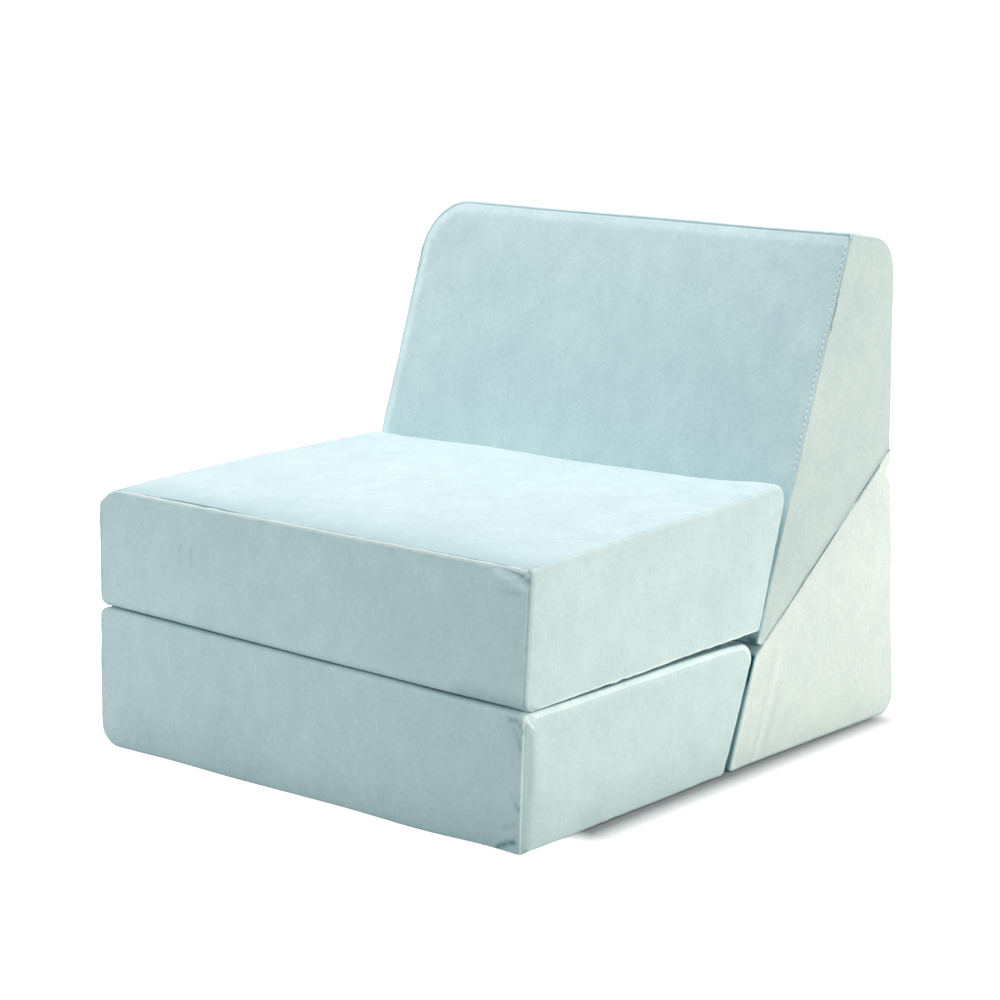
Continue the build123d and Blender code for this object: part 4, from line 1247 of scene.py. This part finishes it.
def zipPieces(name, block, body):
    # two level tapes beside the slit, and a row of teeth on each of them that bite into each other
    point, along, out = zipFrame(block)
    origin, along, out = [np.array([0, *v]) for v in (point, along, out)]
    right = np.array([1.0, 0, 0])
    half = out * zipper["tapeThickness"] / 2
    level = origin - out * zipper["tapeLevel"] - half
    countAcross, countAlong = zipper["tapeGrid"]
    x = np.linspace(-1, 1, countAlong)[None, :, None] * zipper["tapeLength"] / 2
    across = np.linspace(0, 1, countAcross)[:, None]   # from the slit to the tape's outer edge
    teeth = int(zipper["chainLength"] / zipper["toothPitch"])
    verts, faces = [], []
    for side in (-1, 1):
        v = zipper["slit"] / 2 + across * zipper["tapeWidth"]
        sheet = level + x * right + side * v[..., None] * along
        uneven = waves(sheet, 3 + side, zipper["unevenLength"]) * across ** 2
        sheet = sheet + out * (zipper["tapeUneven"] * uneven)[..., None]
        mesh = slabMesh(name + "_zip_tape", sheet + half, sheet - half)
        addPiece(name + "_zip_tape_" + ("left" if side < 0 else "right"), mesh, tapeMaterial, body,
                 [name + "_zip_tapes"])
        place = (np.arange(teeth) - teeth / 2 + 0.5 - side / 4) * zipper["toothPitch"]
        toothLevel = zipper["tapeLevel"] - zipper["toothSize"][2] / 2
        middle = origin - out * toothLevel + side * along * zipper["toothSide"]
        corners, quads = boxRow(middle + place[:, None] * right, zipper["toothSize"], along, out)
        faces.append(quads + len(verts) * len(corners))
        verts.append(corners)
    mesh = bpy.data.meshes.new(name + "_zip_teeth")
    mesh.from_pydata(np.concatenate(verts).tolist(), [], np.concatenate(faces).tolist())
    mesh.validate()
    addPiece(name + "_zip_teeth", outward(mesh), toothMaterial, body, [name + "_zip_tapes"])


for name, (block, body, *_) in blocks.items():
    zipPieces(name, block, body)
print("zips")


# sliders and the hook and loop strips keep their CAD shape
for node, item in nodes.items():
    material = sliderMaterial if "slider" in node else hookMaterial if "hook" in node else \
        loopMaterial if "loop" in node else aquaVelvet
    item.data.materials.clear()
    item.data.materials.append(material)


# room

room = dict(
    floorSize=30, floorLevel=-0.5 * mm, floorTone=0.80, floorRough=0.9, grainScale=3.0, grain=0.01,
    skyTone=0.49, skyTint=(0.97, 1.0, 1.005), glowReach=0.05, darkTone=0.46, darkReach=0.034,
    halfX=0.28, halfY=0.25, shadeX=0.025, shadeY=0.03,   # the painted shadow on the floor lies to the right of the sofa
)


def addFromFootprint(tree, place):
    # distance of a floor point from the sofa's footprint, moved aside: |max(|x - s| - a, 0), max(|y - t| - b, 0)|
    split = tree.nodes.new("ShaderNodeSeparateXYZ")
    join = tree.nodes.new("ShaderNodeCombineXYZ")
    tree.links.new(place, split.inputs[0])
    for axis, (half, shade) in enumerate(((room["halfX"], room["shadeX"]), (room["halfY"], room["shadeY"]))):
        moved = addMath(tree, "SUBTRACT", split.outputs[axis], shade)
        away = addMath(tree, "SUBTRACT", addMath(tree, "ABSOLUTE", moved, 0.0), half)
        tree.links.new(addMath(tree, "MAXIMUM", away, 0.0), join.inputs[axis])
    length = tree.nodes.new("ShaderNodeVectorMath")
    length.operation = "LENGTH"
    tree.links.new(join.outputs[0], length.inputs[0])
    return length.outputs["Value"]


def makeRoom(room):
    # a floor that glows for the camera away from the sofa, with a painted shadow beside it where its colour is
    # darker, and a plain sky that the camera sees as white
    bpy.ops.mesh.primitive_plane_add(size=room["floorSize"], location=(0, 0, room["floorLevel"]))
    floor = bpy.context.object
    floor.name = "floor"
    material, tree, shader = newMaterial("white_floor")
    tone = room["floorTone"]
    place = tree.nodes.new("ShaderNodeTexCoord").outputs["Object"]
    grain = addMath(tree, "MULTIPLY", addNoise(tree, place, room["grainScale"]), room["grain"])
    away = addFromFootprint(tree, place)
    # painted shadow: the floor's colour darkens towards the sofa's footprint
    near = addMath(tree, "ADD", addRange(tree, away, 0.0, room["darkReach"], 0.0, 1.0), grain)
    tree.links.new(addTint(tree, (room["darkTone"],) * 3, (tone,) * 3, near), shader.inputs["Base Color"])
    shader.inputs["Roughness"].default_value = room["floorRough"]
    shader.inputs["Specular IOR Level"].default_value = 0.0
    path = tree.nodes.new("ShaderNodeLightPath")
    shader.inputs["Emission Color"].default_value = (1, 1, 1, 1)
    glow = addRange(tree, away, 0.0, room["glowReach"], 0.0, 1.0)
    tree.links.new(addMath(tree, "MULTIPLY", path.outputs["Is Camera Ray"], glow), shader.inputs["Emission Strength"])
    floor.data.materials.append(material)
    world = bpy.data.worlds.new("studio")
    world.use_nodes = True
    bpy.context.scene.world = world
    tree = world.node_tree
    tree.nodes.clear()
    out = tree.nodes.new("ShaderNodeOutputWorld")
    back = tree.nodes.new("ShaderNodeBackground")
    path = tree.nodes.new("ShaderNodeLightPath")
    seen = addMath(tree, "MAXIMUM", path.outputs["Is Camera Ray"], path.outputs["Is Glossy Ray"])
    seen = addMath(tree, "MAXIMUM", seen, path.outputs["Is Transmission Ray"])
    strength = addRange(tree, seen, 0, 1, room["skyTone"], 1.0)
    tree.links.new(strength, back.inputs["Strength"])
    tint = addTint(tree, room["skyTint"], (1, 1, 1), seen)
    tree.links.new(tint, back.inputs["Color"])
    tree.links.new(back.outputs[0], out.inputs[0])


def addLamp(name, place, aim, size, power, tint):
    # an area lamp at a place, turned to its aim
    data = bpy.data.lights.new(name, "AREA")
    data.shape = "RECTANGLE"
    data.size, data.size_y = size
    data.energy = power
    data.color = tint
    lamp = bpy.data.objects.new(name, data)
    bpy.context.scene.collection.objects.link(lamp)
    back = np.array(place, float) - np.array(aim, float)
    back /= np.linalg.norm(back)
    side = np.cross([0, 0, 1], back)
    side /= np.linalg.norm(side)
    turned = Matrix([list(row) + [0] for row in np.stack([side, np.cross(back, side), back], 1)] + [[0, 0, 0, 1]])
    turned.translation = place
    lamp.matrix_world = turned


lamps = dict(
    side_panel=dict(place=(2.4, 0.55, 0.52), aim=(0, 0, 0.2), size=(1.6, 0.95), power=24.5, tint=(1.0, 0.975, 0.945)),
    overhead=dict(place=(-0.7, 0.45, 3.0), aim=(0, 0, 0.2), size=(1.1, 1.1), power=66, tint=(1.0, 0.86, 0.875)),
    left_fill=dict(place=(-1.15, -1.3, 0.85), aim=(-0.2, 0, 0.2), size=(0.9, 0.9), power=3.7, tint=(0.96, 1.0, 1.0)),
)

makeRoom(room)
for name, lamp in lamps.items():
    addLamp(name, **lamp)
print("room and lamps")

bpy.context.scene.view_settings.view_transform = "Standard"
